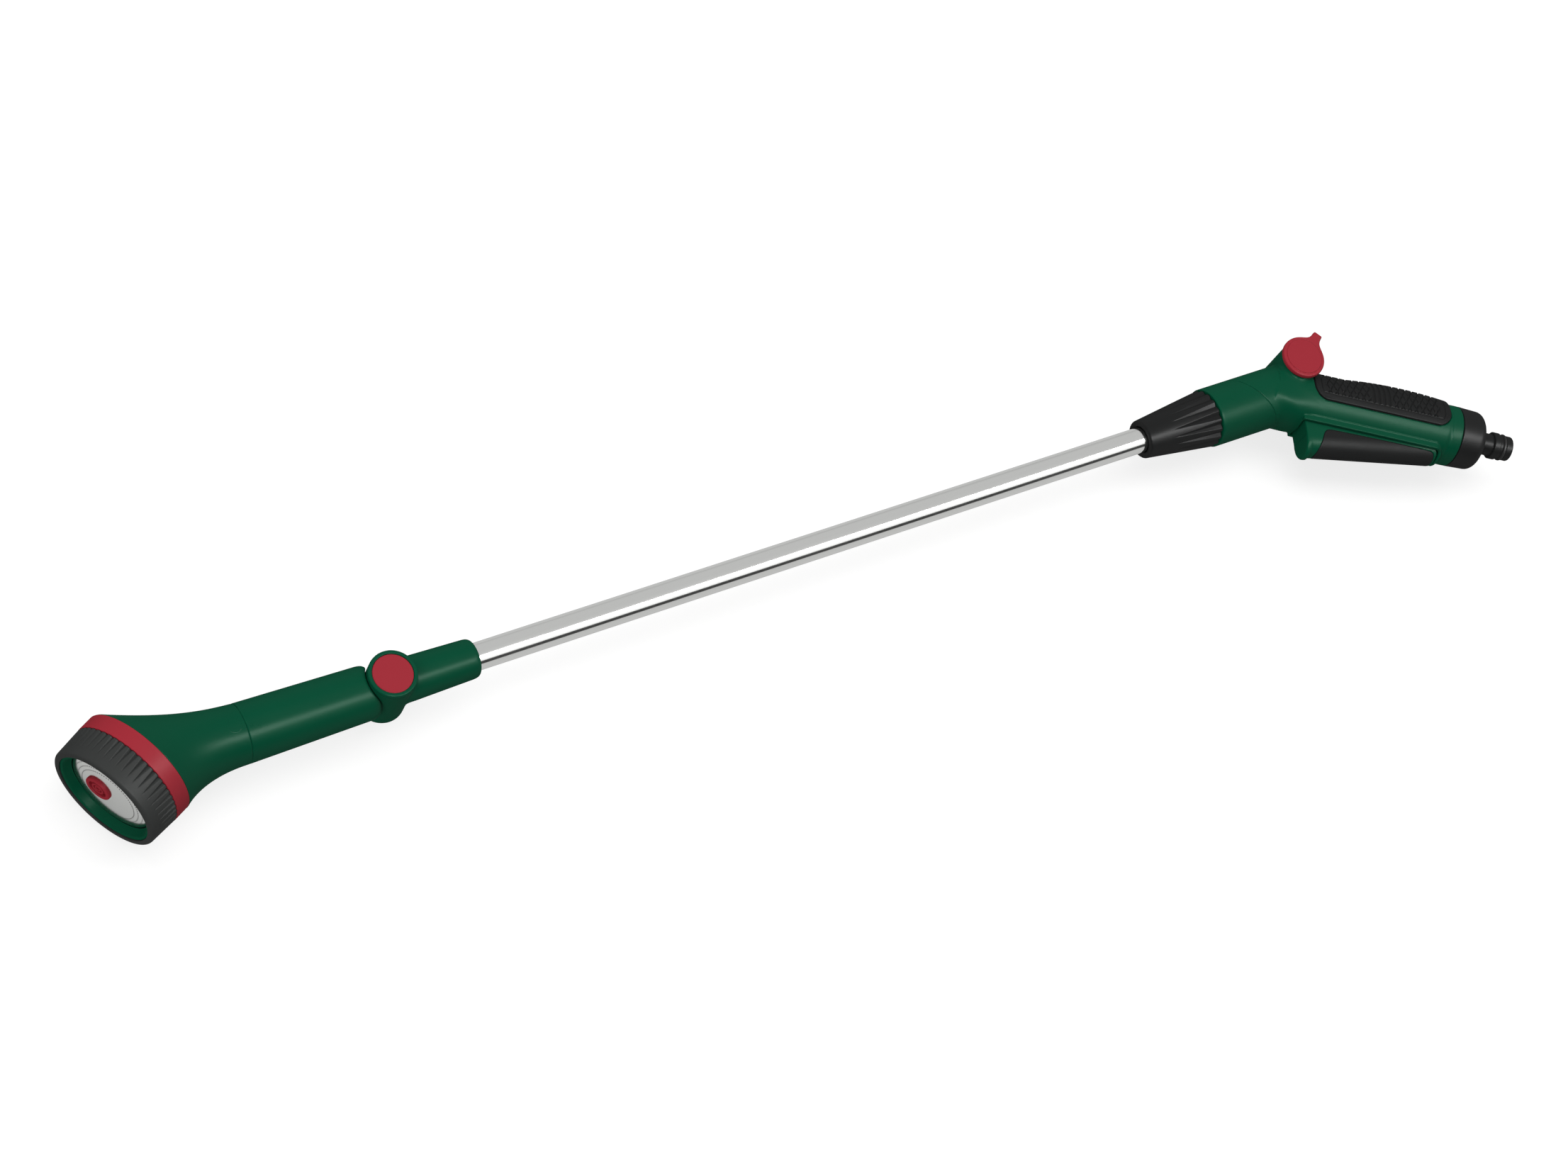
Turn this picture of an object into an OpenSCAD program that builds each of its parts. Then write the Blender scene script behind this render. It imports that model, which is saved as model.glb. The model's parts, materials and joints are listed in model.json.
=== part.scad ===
// Watering wand lying on its side: a tilting rose with a two-way dial, a bare tube, and a bent
// handle with a flow valve, a squeeze trigger and a push-fit hose nipple. Millimetres.
// +X runs along the tube from the rose to the handle, +Y is the palm side of the grip,
// +Z is up, on the side of the valve knob. The origin is the middle of the nipple's ridge.

/* [Layout] */
// Angle between the tube and the grip
grip_angle = 30.3; // [20:0.1:36]
// Bare tube between the socket and the clamp nut
tube_show = 457.5; // [200:0.5:800]

/* [Tube] */
// Outside diameter of the tube
tube_d = 16; // [14:0.5:17]
// Wall of the tube
tube_wall = 1; // [0.6:0.1:2]
// Length of tube held in the socket
tube_in_socket = 30; // [24:1:33]
// Length of tube held in the barrel, past the nut
tube_in_barrel = 20; // [12:0.5:21]

/* [Tilt swivel] */
// Outside radius of the swivel barrel
swivel_r = 13.9; // [13:0.1:15]
// Wall of the swivel barrel
swivel_wall = 2.3; // [1.4:0.1:2.6]
// Half height of the swivel barrel
swivel_h = 18.2; // [16:0.1:22]
// Skirt below the closed end of the swivel barrel
swivel_skirt = 2.6; // [1:0.1:4]
// Closed end of the swivel barrel
swivel_floor = 2.5; // [1.5:0.1:3]
// Thickness of the red cap
swivel_cap_t = 3; // [2:0.1:4]
// Tilt of the rose towards the palm side, in degrees
tilt_up = 45; // [20:1:50]
// Tilt of the rose towards the trigger's side, in degrees
tilt_down = 15; // [5:1:16]
// Outside radius of the water spigot that joins neck and swivel
spigot_r = 5.4; // [4.8:0.1:6]
// Bore of the water way through the swivel
water_r = 3.6; // [3:0.1:4]

/* [Tube socket] */
// Length of the socket from the swivel's axis
socket_len = 53.5; // [48:0.5:70]
// Wall of the socket round the tube at its open end
socket_wall = 3.4; // [2.6:0.1:5]
// How much thicker the socket is beside the swivel
socket_taper = 1.2; // [0:0.1:2]

/* [Neck] */
// Length of the neck from the swivel's axis to the bell
neck_len = 86.3; // [70:0.1:110]
// Radius of the neck beside the swivel
neck_r = 15.4; // [15:0.1:16.5]
// Radius of the neck where the bell starts
neck_r_seam = 17; // [16:0.1:19]
// Wall of the neck
neck_wall = 3.1; // [3:0.1:4]
// How far short of the swivel's axis the neck ends
neck_stop = 9; // [8:0.1:11]

/* [Bell] */
// Length of the bell along the tube's line
bell_len = 56.7; // [45:0.1:75]
// How far the rim's centre stands off the tube's line
bell_rise = 2.2; // [-3:0.1:5]
// Tilt of the spray face against the tube
face_tilt = 27.7; // [10:0.1:32]
// Radius of the bell's rim
rim_r = 34.8; // [34:0.1:40]
// Wall of the bell
bell_wall = 2.4; // [2:0.1:2.4]
// Width of the accent ring
accent_w = 9.6; // [9:0.1:14]

/* [Dial] */
// Depth of the dial in front of the accent ring
dial_depth = 18.6; // [18:0.1:24]
// Radius of the green lip
lip_r = 30; // [28:0.1:30.2]
// Radius of the spray plate that shows
plate_r = 26.3; // [24:0.1:27]
// Depth of the spray plate below the lip
plate_drop = 4.8; // [3:0.1:5.5]
// Rise of the spray plate's dome
plate_dome = 2.2; // [1:0.1:2.6]
// Radius of the jet nozzle
jet_r = 8; // [7.5:0.1:9]
// How far the jet nozzle stands off the dial's axis
jet_offset = 6; // [0:0.1:6.5]
// Rise of the jet nozzle over the plate's rim
jet_rise = 3.6; // [2.8:0.1:4.2]
// Flutes round the bezel
bezel_flutes = 52; // [24:1:60]
// Spray holes in each ring
ring_holes = 36; // [12:1:60]
// Radius of the outer ring of holes
ring_r = 22.8; // [22:0.1:24]
// Step between the rings of holes
ring_step = 2.6; // [1.6:0.1:2.8]
// Radius of a spray hole
hole_r = 0.45; // [0.3:0.05:0.7]

/* [Clamp nut] */
// Length of the clamp nut
nut_len = 50.8; // [46:0.1:60]
// Radius of the nut's wide end
nut_r = 18.05; // [17:0.05:19]
// Wall of the nut round the tube at its narrow end
nut_wall = 4; // [3:0.1:5]
// Flutes round the nut
nut_flutes = 18; // [8:1:24]

/* [Handle] */
// Length of the barrel from the elbow to the nut
barrel_len = 53.6; // [52:0.1:70]
// Radius of the barrel
barrel_r = 18.6; // [18:0.1:20]
// Where the barrel's slanting seam crosses the tube's axis, before the elbow
seam_x = 22; // [20:0.1:24]
// Length of the grip from the elbow to the collar
grip_len = 123.7; // [122:0.1:140]
// Radius of the grip
grip_r = 19.6; // [19.4:0.1:21]
// Radius of the grip beside the collar
grip_end_r = 19.4; // [18.8:0.1:20.5]
// Wall of the grip
grip_wall = 3.8; // [3.6:0.1:4]

/* [Grip pad] */
// Start of the pad, from the elbow
pad_x = 19.5; // [18:0.1:30]
// Length of the pad
pad_len = 95.5; // [80:0.1:97]
// How far below the grip's axis the pad reaches on each side
pad_drop = 5.9; // [0:0.1:6]
// Radius of the pad's lower corners
pad_corner = 10; // [5:0.5:14]
// Depth of the pad's seat in the grip
pad_seat = 1.3; // [0.8:0.1:1.6]
// How far the pad stands proud of the grip
pad_edge = 0.5; // [0.4:0.1:1.2]
// How far the pad's hump rises for the palm
pad_hump = 2.9; // [1:0.1:4]
// Where the hump is highest, from the elbow
pad_hump_x = 84; // [70:0.5:90]
// Radius of the hump along the grip
pad_bend = 276; // [200:1:400]

/* [Flow valve] */
// Valve axis along the grip, from the elbow
valve_x = 10.2; // [9:0.1:10.6]
// Valve axis above the grip's axis
valve_y = 18.9; // [18.5:0.1:20]
// Radius of the valve boss
valve_r = 13.2; // [12.6:0.1:14]
// Wall of the valve boss
valve_wall = 3.1; // [2.5:0.1:3.6]
// Half height of the valve boss
valve_h = 20.3; // [20:0.1:24]
// Radius of the knob
knob_r = 14.15; // [13.5:0.05:16]
// Thickness of the knob
knob_t = 3.4; // [3:0.1:5]
// Reach of the thumb tab from the knob's axis
tab_reach = 21.6; // [18:0.1:26]
// Width of the thumb tab
tab_w = 6.1; // [4:0.1:8]
// Direction of the thumb tab, from the grip's axis
tab_angle = 62; // [40:1:75]

/* [Trigger] */
// Trigger hinge along the grip, from the elbow
pin_x = 101; // [100:0.1:102]
// Trigger hinge below the grip's axis
pin_drop = 13.5; // [13:0.1:14]
// Radius of the hinge pin
pin_r = 1.6; // [1.2:0.1:2]
// Slope of the released trigger against the grip
trigger_slope = 9.3; // [8.5:0.1:10]
// Squeeze of the trigger, in degrees
trigger_travel = 8; // [4:0.5:8]
// Length of the trigger from its hinge to its tip
trigger_len = 83.6; // [80:0.1:84]
// Half width of the trigger
trigger_w = 10; // [9.4:0.1:10.2]
// Wall of the trigger
trigger_wall = 1.8; // [1.2:0.1:2]
// Depth of the trigger's rounded floor below its hinge
trigger_drop = 11.8; // [11:0.1:13]
// Wall of the rim round the trigger
rim_wall = 1; // [0.8:0.1:1.4]
// Width of the rim's lip at each side of the trigger
rim_side = 2.3; // [1.2:0.1:2.6]
// How far below the grip's axis the rim reaches
rim_drop = 19; // [17.5:0.1:19.5]
// Thickness of the rim's rounded tail behind the trigger
tail_t = 2; // [1.5:0.1:3]
// How far below the grip's axis the rim's tail reaches
tail_drop = 23.1; // [21:0.1:24]

/* [Trigger valve] */
// Plunger along the grip, from the elbow
plunger_x = 57; // [50:0.5:62]
// Radius of the plunger
plunger_r = 5; // [4.4:0.1:5.2]
// Radius of the plunger's stem
stem_r = 2; // [1.5:0.1:2.4]
// Radius of the inner pipe
pipe_r = 7.5; // [6.8:0.1:7.8]
// Bore of the inner pipe
pipe_bore = 3; // [2:0.1:3]
// Wire radius of the return spring
wire_r = 0.45; // [0.3:0.05:0.5]
// Turns of the return spring
spring_turns = 7; // [4:1:9]

/* [Hose end] */
// Length of the end collar
collar_len = 18; // [17.5:0.1:26]
// Radius of the rounding on the collar's end
collar_round = 6.5; // [3:0.1:8]
// Radius of the nipple's ridge
ridge_r = 8.65; // [8:0.05:9]
// Length of the nipple's ridge, with its chamfers
ridge_len = 4.7; // [3:0.1:6]
// Radius of the nipple's waist
waist_r = 7.1; // [6.6:0.1:7.4]
// Length of the nipple's waist
waist_len = 10; // [6:0.1:12]
// Radius of the nipple's tip
tip_r = 7.9; // [7.4:0.1:8]
// Length of the nipple past its ridge
tip_len = 8.8; // [8:0.1:16]
// Bore of the nipple
nipple_bore = 4.8; // [3:0.1:5]

/* [Clearances] */
// Radial clearance of pieces that push together and stay
slip = 0.1; // [0.05:0.05:0.2]
// Radial clearance of a turning or sliding fit
run = 0.06; // [0.03:0.01:0.1]
// Gap between faces that move past each other
gap = 0.3; // [0.2:0.05:0.5]

/* [Hidden] */
$fn = 96;

green = [0.05, 0.29, 0.19];
red = [0.62, 0.14, 0.18];
black = [0.14, 0.15, 0.15];
grey = [0.72, 0.73, 0.72];
rubber = [0.1, 0.1, 0.1];

// A cutter's overrun past the face it cuts
over = 1;

tube_r = tube_d / 2;
socket_r_end = tube_r + socket_wall;
socket_r_in = socket_r_end + socket_taper;
swivel_bore = swivel_r - swivel_wall;
core_r = swivel_bore - run;
core_low = -swivel_h + swivel_floor + gap;
core_high = swivel_h - swivel_cap_t - gap;
tilt_mid = (tilt_down - tilt_up) / 2;
tilt_half = (tilt_down + tilt_up) / 2;
pivot_dist = socket_len + tube_show + nut_len + barrel_len;
tube_end = -barrel_len + tube_in_barrel;
hose_dist = grip_len + collar_len + waist_len + ridge_len / 2;

// Seals: radius of a seal's section, and the room its groove leaves beside it
seal_r = 0.8;
seal_room = 0.1;

// Neck's joint with the bell
neck_joint_len = 10;
neck_joint_r = neck_r_seam - bell_wall - gap;
neck_bore = neck_joint_r - neck_wall;
// Solid end of the neck beside the swivel
neck_end_t = 13;
// Spigot's reach into the swivel, as a distance from its axis
spigot_stop = 4;

// Rose, measured from the rim's centre outwards
mouth_r = 31.2;
collar_t = 2.2;
carrier_depth = 11.2;
plate_t = 1.3;
lip_x = accent_w + dial_depth - 1;
plate_x = lip_x - plate_drop;
bezel_back = accent_w + gap;
bezel_front = accent_w + dial_depth;
bezel_r_back = rim_r - gap;
bezel_r_front = bezel_r_back - 0.8;
dial_r = mouth_r - collar_t - 0.5;
dial_back = 2.6;
axle_r = 4;
axle_len = 14;
port_r = 4;
port_at = 15;
jet_chamber_r = 10.5;
chamber_wall = 1.5;
jet_stem_r = jet_r - 2.5;

// Barrel nose under the clamp nut
nose_len = 22.4;
nose_r = tube_r + 4.8;
collet_len = 12;
collet_r = tube_r + 3.5;
nut_r_front = tube_r + nut_wall;
// Spigot that joins the barrel's front to the handle body
joint_r = 14;
joint_x = -31.4;
barrel_bore = 7;

grip_bore = grip_r - grip_wall;
cavity_x = 24;
valve_bore = valve_r - valve_wall;
plug_r = valve_bore - run;
plug_low = -valve_h + 4.8;
plug_high = valve_h - 3.8;
knob_stem_r = 5;
knob_low = valve_h + gap;

// Trigger
trigger_back = 7.4;
pocket_w = trigger_w + gap;
rim_w = pocket_w + rim_side;
pocket_front = pin_x - trigger_len - 1.1;
pocket_back = pin_x + trigger_back + 2.5;
pocket_top = 2.5;
rim_front = pocket_front - rim_wall;
rim_back = pocket_back + rim_wall;
trigger_axis = trigger_w - trigger_drop;
floor_y = -trigger_drop + trigger_wall;
pin_reach = pocket_w + 1.9;
arm = pin_x - plunger_x;

// Height at the plunger of a line that runs a given distance off the hinge, at a given slope
function over_floor(off, slope) = -pin_drop + (off - arm * sin(slope)) / cos(slope);
tip_y = over_floor(floor_y + stem_r + gap, trigger_slope);
plunger_lift = over_floor(floor_y + stem_r + gap, trigger_slope - trigger_travel) - tip_y;
spool_bore = plunger_r + run;
spool_boss_r = spool_bore + 2.1;
spool_low = -pipe_bore - 0.1 - plunger_lift - 3;
boss_low = spool_low - 0.5;
spool_high = pipe_bore + 2.5;
boss_high = spool_high + plunger_lift + 1.8;
spring_r = stem_r + wire_r + 1.15;
spring_top = boss_low - wire_r - gap;
spring_low = over_floor(floor_y, trigger_slope) + spring_r * tan(trigger_slope) + wire_r + gap;

// Hose end, along the grip
collar_end = grip_len + collar_len;
plug_len = 12.2;
cup_r = 11;
cup_end = collar_end - 12;
ridge_x = collar_end + waist_len;
nipple_end = ridge_x + ridge_len + tip_len;
nipple_seal_x = ridge_x + ridge_len + 3;
nipple_seal_r = 1.2;
shank_r = waist_r + 0.9;
flange_t = 2.4;

// Frames

module from_elbow()
  translate([-hose_dist * cos(grip_angle), hose_dist * sin(grip_angle), 0]) children();
// X along the grip towards the hose, from the elbow
module on_grip() from_elbow() rotate([0, 0, -grip_angle]) children();
module on_pivot() from_elbow() translate([-pivot_dist, 0, 0]) children();
// X out of the spray face, from the rim's centre
module on_rim()
  on_pivot() translate([-neck_len - bell_len, bell_rise, 0]) rotate([0, 0, 180 + face_tilt]) children();
module on_valve() on_grip() translate([valve_x, valve_y, 0]) children();
// X along the trigger towards its hinge, from the hinge
module on_trigger()
  on_grip() translate([pin_x, -pin_drop, 0]) rotate([0, 0, trigger_slope]) children();

// Shared shapes

function arc(c, r, from, to, n = 6) =
  [for (i = [0:n]) let(a = from + (to - from) * i / n) c + r * [cos(a), sin(a)]];

// Body of revolution about X, from [radius, x] points
module turn(points) rotate([0, 90, 0]) rotate_extrude() polygon(points);

module rod(x0, x1, r) translate([x0, 0, 0]) rotate([0, 90, 0]) cylinder(r = r, h = x1 - x0);

module ring(x0, x1, r_out, r_in)
  turn([[r_in, x0], [r_out, x0], [r_out, x1], [r_in, x1]]);

module post(z0, z1, r) translate([0, 0, z0]) cylinder(r = r, h = z1 - z0);

// Ring seal about X
module seal_x(x, r, section = seal_r)
  translate([x, 0, 0]) rotate([0, 90, 0]) rotate_extrude() translate([r, 0]) circle(section);

// Ring seal about Z
module seal_z(z, r, section = seal_r)
  translate([0, 0, z]) rotate_extrude() translate([r, 0]) circle(section);

// Groove for a ring seal, cut about X
module groove_x(x, r_in, r_out, section = seal_r)
  ring(x - section - seal_room, x + section + seal_room, r_out, r_in);

module groove_z(z, r_in, r_out, section = seal_r)
  translate([0, 0, z]) rotate_extrude()
    translate([r_in, -section - seal_room]) square([r_out - r_in, 2 * (section + seal_room)]);

// Sector of a ring about Z, centred on a direction
module sector(direction, half, r_in, r_out, half_h)
  rotate([0, 0, direction - half]) rotate_extrude(angle = 2 * half)
    translate([r_in, -half_h]) square([r_out - r_in, 2 * half_h]);

// Tube and swivel

module tube()
  color("silver") on_pivot()
    ring(socket_len - tube_in_socket, pivot_dist + tube_end, tube_r, tube_r - tube_wall);

module tube_socket() {
  beside = asin((spigot_r + gap) / swivel_bore) + 2;
  bore_start = socket_len - tube_in_socket - slip;
  round_r = 2.4;
  color(green) on_pivot() difference() {
    union() {
      post(-swivel_h - swivel_skirt, swivel_h, swivel_r);
      turn(concat(
        [[0, 0], [socket_r_in, 0], [socket_r_in, swivel_r]],
        arc([socket_r_end - round_r, socket_len - round_r], round_r, 0, 90),
        [[0, socket_len]]));
    }
    post(-swivel_h + swivel_floor, swivel_h + over, swivel_bore);
    post(-swivel_h - swivel_skirt - over, -swivel_h, swivel_bore);
    rod(bore_start, socket_len + over, tube_r + slip);
    rod(0, bore_start + over, water_r + 0.4);
    rod(0, seat_end() + slip, seat_r() + slip);
    sector(180 + tilt_mid, tilt_half + beside, swivel_bore - over, swivel_r + over, spigot_r + gap);
    groove_x(socket_len - 8, tube_r, tube_r + 2 * seal_r + 2 * seal_room);
  }
}

function seat_r() = water_r + 2.2;
function seat_end() = swivel_r + 1;

// Seal in the socket whose face follows the swivel's bore
module seat_seal()
  color(rubber) on_pivot() difference() {
    ring(seat_r() * 0.5, seat_end(), seat_r(), water_r + 0.2);
    post(-swivel_h, swivel_h, swivel_bore);
  }

module socket_seal() color(rubber) on_pivot() seal_x(socket_len - 8, tube_r + seal_r + seal_room);

module swivel_cap() {
  cap_r = swivel_bore - slip;
  edge = 0.4;
  low = swivel_h - swivel_cap_t;
  top = swivel_h - 0.5;
  color(red) on_pivot() rotate_extrude()
    polygon([[0, low], [cap_r, low], [cap_r, top - edge], [cap_r - edge, top], [0, top]]);
}

module swivel_core() {
  inlet = tilt_half + asin(water_r / core_r) + 2;
  color(green) on_pivot() difference() {
    post(core_low, core_high, core_r);
    rod(-core_r - over, -spigot_stop, spigot_r + slip);
    post(-water_r, water_r, core_r - 4);
    sector(-tilt_mid, inlet, core_r - 6, core_r + over, water_r);
    for (z = [core_low + 2.6, core_high - 2.6]) groove_z(z, core_r - 2 * seal_r, core_r + over);
  }
}

module swivel_o_rings()
  color(rubber) on_pivot()
    for (z = [core_low + 2.6, core_high - 2.6]) seal_z(z, core_r - seal_r + 0.05, seal_r - 0.1);

// Neck and bell

module neck() {
  end_round = 2;
  groove_at = -neck_len - neck_joint_len / 2;
  color(green) on_pivot() difference() {
    union() {
      difference() {
        turn(concat(
          [[0, -neck_len - neck_joint_len], [neck_joint_r, -neck_len - neck_joint_len],
           [neck_joint_r, -neck_len], [neck_r_seam, -neck_len]],
          arc([neck_r - end_round, -neck_stop - end_round], end_round, 0, 90),
          [[0, -neck_stop]]));
        post(-neck_r_seam - over, neck_r_seam + over, swivel_r + gap);
      }
      rod(-swivel_r - neck_end_t / 2, -spigot_stop - slip, spigot_r);
    }
    rod(-neck_len - neck_joint_len - over, -swivel_r - neck_end_t, neck_bore);
    rod(-swivel_r - neck_end_t - over, 0, water_r);
    groove_x(groove_at, neck_joint_r - 2 * seal_r, neck_joint_r + over);
  }
}

module neck_seal()
  color(rubber) on_pivot()
    seal_x(-neck_len - neck_joint_len / 2, neck_joint_r - seal_r + 0.05, seal_r - 0.05);

// The bell's rings: centre along the line, tilt of the ring and radius, at share t
bell_rings = 22;
bell_sides = 64;
function bell_centre(t) = [-neck_len - bell_len * t, bell_rise * t];
function bell_turn(t) = face_tilt * pow(t, 0.85);
function bell_r(t) = neck_r_seam + (rim_r - neck_r_seam) * (0.1 * t + 0.9 * pow(t, 2.2));
function bell_point(t, a, r) =
  let(c = bell_centre(t), b = bell_turn(t))
  [c.x - sin(b) * r * cos(a), c.y + cos(b) * r * cos(a), r * sin(a)];

module bell() {
  n = bell_sides;
  m = bell_rings;
  skins = [0, bell_wall];
  points = [for (w = skins) for (i = [0:m]) for (j = [0:n - 1])
    bell_point(i / m, 360 * j / n, bell_r(i / m) - w)];
  inside = (m + 1) * n;
  // Two triangles for the patch between two neighbouring pairs of points
  function patch(a, b, c, d) = [[a, b, c], [a, c, d]];
  faces = [for (i = [0:m - 1]) for (j = [0:n - 1]) let(k = (j + 1) % n, p = i * n, q = p + n)
    each concat(
      patch(p + j, p + k, q + k, q + j),
      patch(inside + p + k, inside + p + j, inside + q + j, inside + q + k))];
  ends = [for (j = [0:n - 1]) let(k = (j + 1) % n, e = m * n)
    each concat(
      patch(k, j, inside + j, inside + k),
      patch(e + j, e + k, inside + e + k, inside + e + j))];
  color(green) on_pivot() polyhedron(points, concat(faces, ends), convexity = 6);
}

// Rose

module accent_ring()
  color(red) on_rim() ring(0, accent_w, rim_r - 0.2, mouth_r + slip);

module port_plate() {
  lip = 1.5;
  face = 2;
  color(black) on_rim() difference() {
    union() {
      rod(-lip, face, mouth_r - 0.8);
      rod(0, face, mouth_r);
      ring(face, carrier_depth, mouth_r, mouth_r - collar_t);
      rod(face, axle_len, axle_r);
    }
    rod(4, axle_len + over, 1.7);
    translate([0, port_at, 0]) {
      rod(-lip - over, face + over, port_r);
      rod(face - 1.5, face + over, port_r + 2.6);
    }
  }
}

module port_seal()
  color(rubber) on_rim() translate([0, port_at, 0]) ring(0.5, dial_back - gap, port_r + 2.5, port_r);

module dial_screw()
  color("silver") on_rim() {
    rod(4.2, axle_len, 1.6);
    rod(axle_len, axle_len + 2.4, axle_r + 1.8);
  }

module dial_core() {
  top = plate_x - plate_t - slip;
  web = 2.4;
  rim_t = 2.7;
  duct = 6;
  color(black) on_rim() difference() {
    union() {
      rod(dial_back, dial_back + web, dial_r);
      ring(dial_back, top, dial_r, dial_r - rim_t);
      ring(dial_back, top, jet_chamber_r + chamber_wall, jet_chamber_r);
      rod(dial_back, axle_len - gap, axle_r + 3);
      translate([dial_back, -port_at - duct, -duct])
        cube([web + duct, port_at + duct - jet_chamber_r, 2 * duct]);
    }
    rod(0, axle_len + over, axle_r + run);
    translate([0, port_at, 0]) rod(0, dial_back + web + over, port_r - 0.4);
    translate([0, -port_at, 0]) rod(0, dial_back + web + over, port_r - 0.4);
    translate([dial_back + web, -port_at - port_r, -port_r])
      cube([duct - 2, port_at + port_r - jet_chamber_r + chamber_wall, 2 * port_r]);
    groove_x(dial_back + web + 2, dial_r - 1.6, dial_r + over);
  }
}

module dial_seal() color(rubber) on_rim() seal_x(dial_back + 4.4, dial_r - 0.75, seal_r - 0.05);

module bezel() {
  round_r = 1.6;
  step = plate_x - slip;
  flute_len = dial_depth * 0.6;
  color(black) on_rim() difference() {
    turn(concat(
      [[mouth_r + 0.4, bezel_back], [bezel_r_back, bezel_back]],
      arc([bezel_r_front - round_r, bezel_front - round_r], round_r, 10, 90),
      [[lip_r + slip, bezel_front], [lip_r + slip, step], [dial_r + slip, step],
       [dial_r + slip, carrier_depth + 0.4], [mouth_r + 0.4, carrier_depth + 0.4]]));
    for (i = [0:bezel_flutes - 1])
      rotate([360 * i / bezel_flutes, 0, 0]) translate([bezel_back - over, 0, bezel_r_back + 0.2])
        rotate([0, 90, 0]) cylinder(h = flute_len, r1 = 1.1, r2 = 0.3, $fn = 24);
  }
}

module face_cup()
  color(green) on_rim()
    turn([[lip_r, plate_x + slip], [lip_r, lip_x + 0.2],
          [lip_r - 0.7, lip_x + 0.2], [plate_r, plate_x + slip]]);

// Plate with a shallow dome, its rings of holes and the seat of the jet nozzle
module spray_plate() {
  low = plate_x - plate_t;
  dome_r = plate_r - 0.3;
  steps = 10;
  dome = [for (i = [0:steps]) let(a = 90 * i / steps) [dome_r * cos(a), plate_x + plate_dome * sin(a)]];
  color(grey) on_rim() difference() {
    turn(concat([[0, low], [dial_r - slip, low], [dial_r - slip, plate_x]], dome));
    translate([0, -jet_offset, 0]) {
      rod(low - over, plate_x + over, jet_stem_r + slip);
      rod(plate_x, plate_x + plate_dome + over, jet_r + slip);
    }
    for (k = [0:2]) for (i = [0:ring_holes - 1])
      rotate([360 * (i + k / 2) / ring_holes, 0, 0]) translate([0, ring_r - ring_step * k, 0])
        rod(low - over, plate_x + plate_dome + over, hole_r);
  }
}

module jet_nozzle() {
  low = plate_x - plate_t;
  seat = plate_x + slip;
  face = plate_x + jet_rise;
  sunk = face - 1.2;
  color(red) on_rim() translate([0, -jet_offset, 0]) turn(concat(
    [[1.3, low], [jet_stem_r, low], [jet_stem_r, seat], [jet_r, seat]],
    arc([jet_r - 1, face - 1], 1, 0, 90),
    [[jet_r - 2.2, face], [jet_r - 2.8, sunk], [4.4, sunk], [3.9, face - 0.2],
     [2.9, face - 0.2], [2.4, sunk], [1.3, sunk]]));
}

// Nut and barrel, measured along the tube from the elbow

module clamp_nut() {
  front = -barrel_len - nut_len;
  back = -barrel_len - gap;
  nose_end = -barrel_len - nose_len;
  round_r = 1.6;
  color(black) from_elbow() difference() {
    turn(concat(
      [[tube_r + 0.25, front], [nut_r_front - round_r, front]],
      arc([nut_r_front - round_r, front + round_r], round_r, -90, 0),
      [[nut_r, back - 0.6], [nut_r - 0.6, back], [nose_r + gap, back],
       [nose_r + gap, nose_end - 0.6], [collet_r + 0.4, nose_end - 0.6],
       [collet_r + 0.4, nose_end - collet_len - 1.4], [tube_r + 0.25, nose_end - collet_len - 4]]));
    for (i = [0:nut_flutes - 1])
      rotate([360 * (i + 0.5) / nut_flutes, 0, 0]) translate([back + over, 0, nut_r + 1.3])
        rotate([0, -98, 0]) cylinder(h = nut_len * 0.62, r1 = 2.6, r2 = 0.9);
  }
}

module collet() {
  start = -barrel_len - nose_len - collet_len - 0.7;
  slot = 1.2;
  color(grey) from_elbow() difference() {
    ring(start, start + collet_len, collet_r, tube_r + slip);
    for (a = [0, 120, 240])
      rotate([a, 0, 0]) translate([start - over, -slot / 2, 0])
        cube([collet_len * 0.7 + over, slot, collet_r + over]);
  }
}

module tube_seal() color(rubber) from_elbow() seal_x(-barrel_len + 7, tube_r + seal_r + seal_room);

// Half space behind the slanting seam of the barrel
module behind_seam(shift = 0) {
  big = 3 * barrel_r;
  translate([-seam_x + shift, 0, 0]) rotate([0, 0, grip_angle])
    translate([0, -big, -big]) cube(2 * big);
}

module barrel_front()
  color(green) from_elbow() difference() {
    union() {
      difference() {
        rod(-barrel_len, 0, barrel_r);
        behind_seam();
      }
      rod(-barrel_len - nose_len, -barrel_len + over, nose_r);
    }
    rod(-barrel_len - nose_len - over, tube_end + slip, tube_r + slip);
    rod(tube_end - over, 0, barrel_bore - 0.4);
    rod(joint_x - slip, 0, joint_r + slip);
    groove_x(-barrel_len + 7, tube_r, tube_r + 2 * seal_r + 2 * seal_room);
  }

// Handle body

// Outline of the pad seen from the side, extruded across the grip
module pad_zone(grow = 0) {
  low = -pad_drop - grow;
  len = pad_len + 2 * grow;
  high = 2 * grip_r;
  c = pad_corner + grow;
  translate([pad_x - grow, 0, -2 * grip_r]) linear_extrude(4 * grip_r) {
    translate([0, low + c]) square([len, high]);
    translate([c, low]) square([len - 2 * c, high]);
    for (x = [c, len - c]) translate([x, low + c]) circle(c);
  }
}

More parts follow.
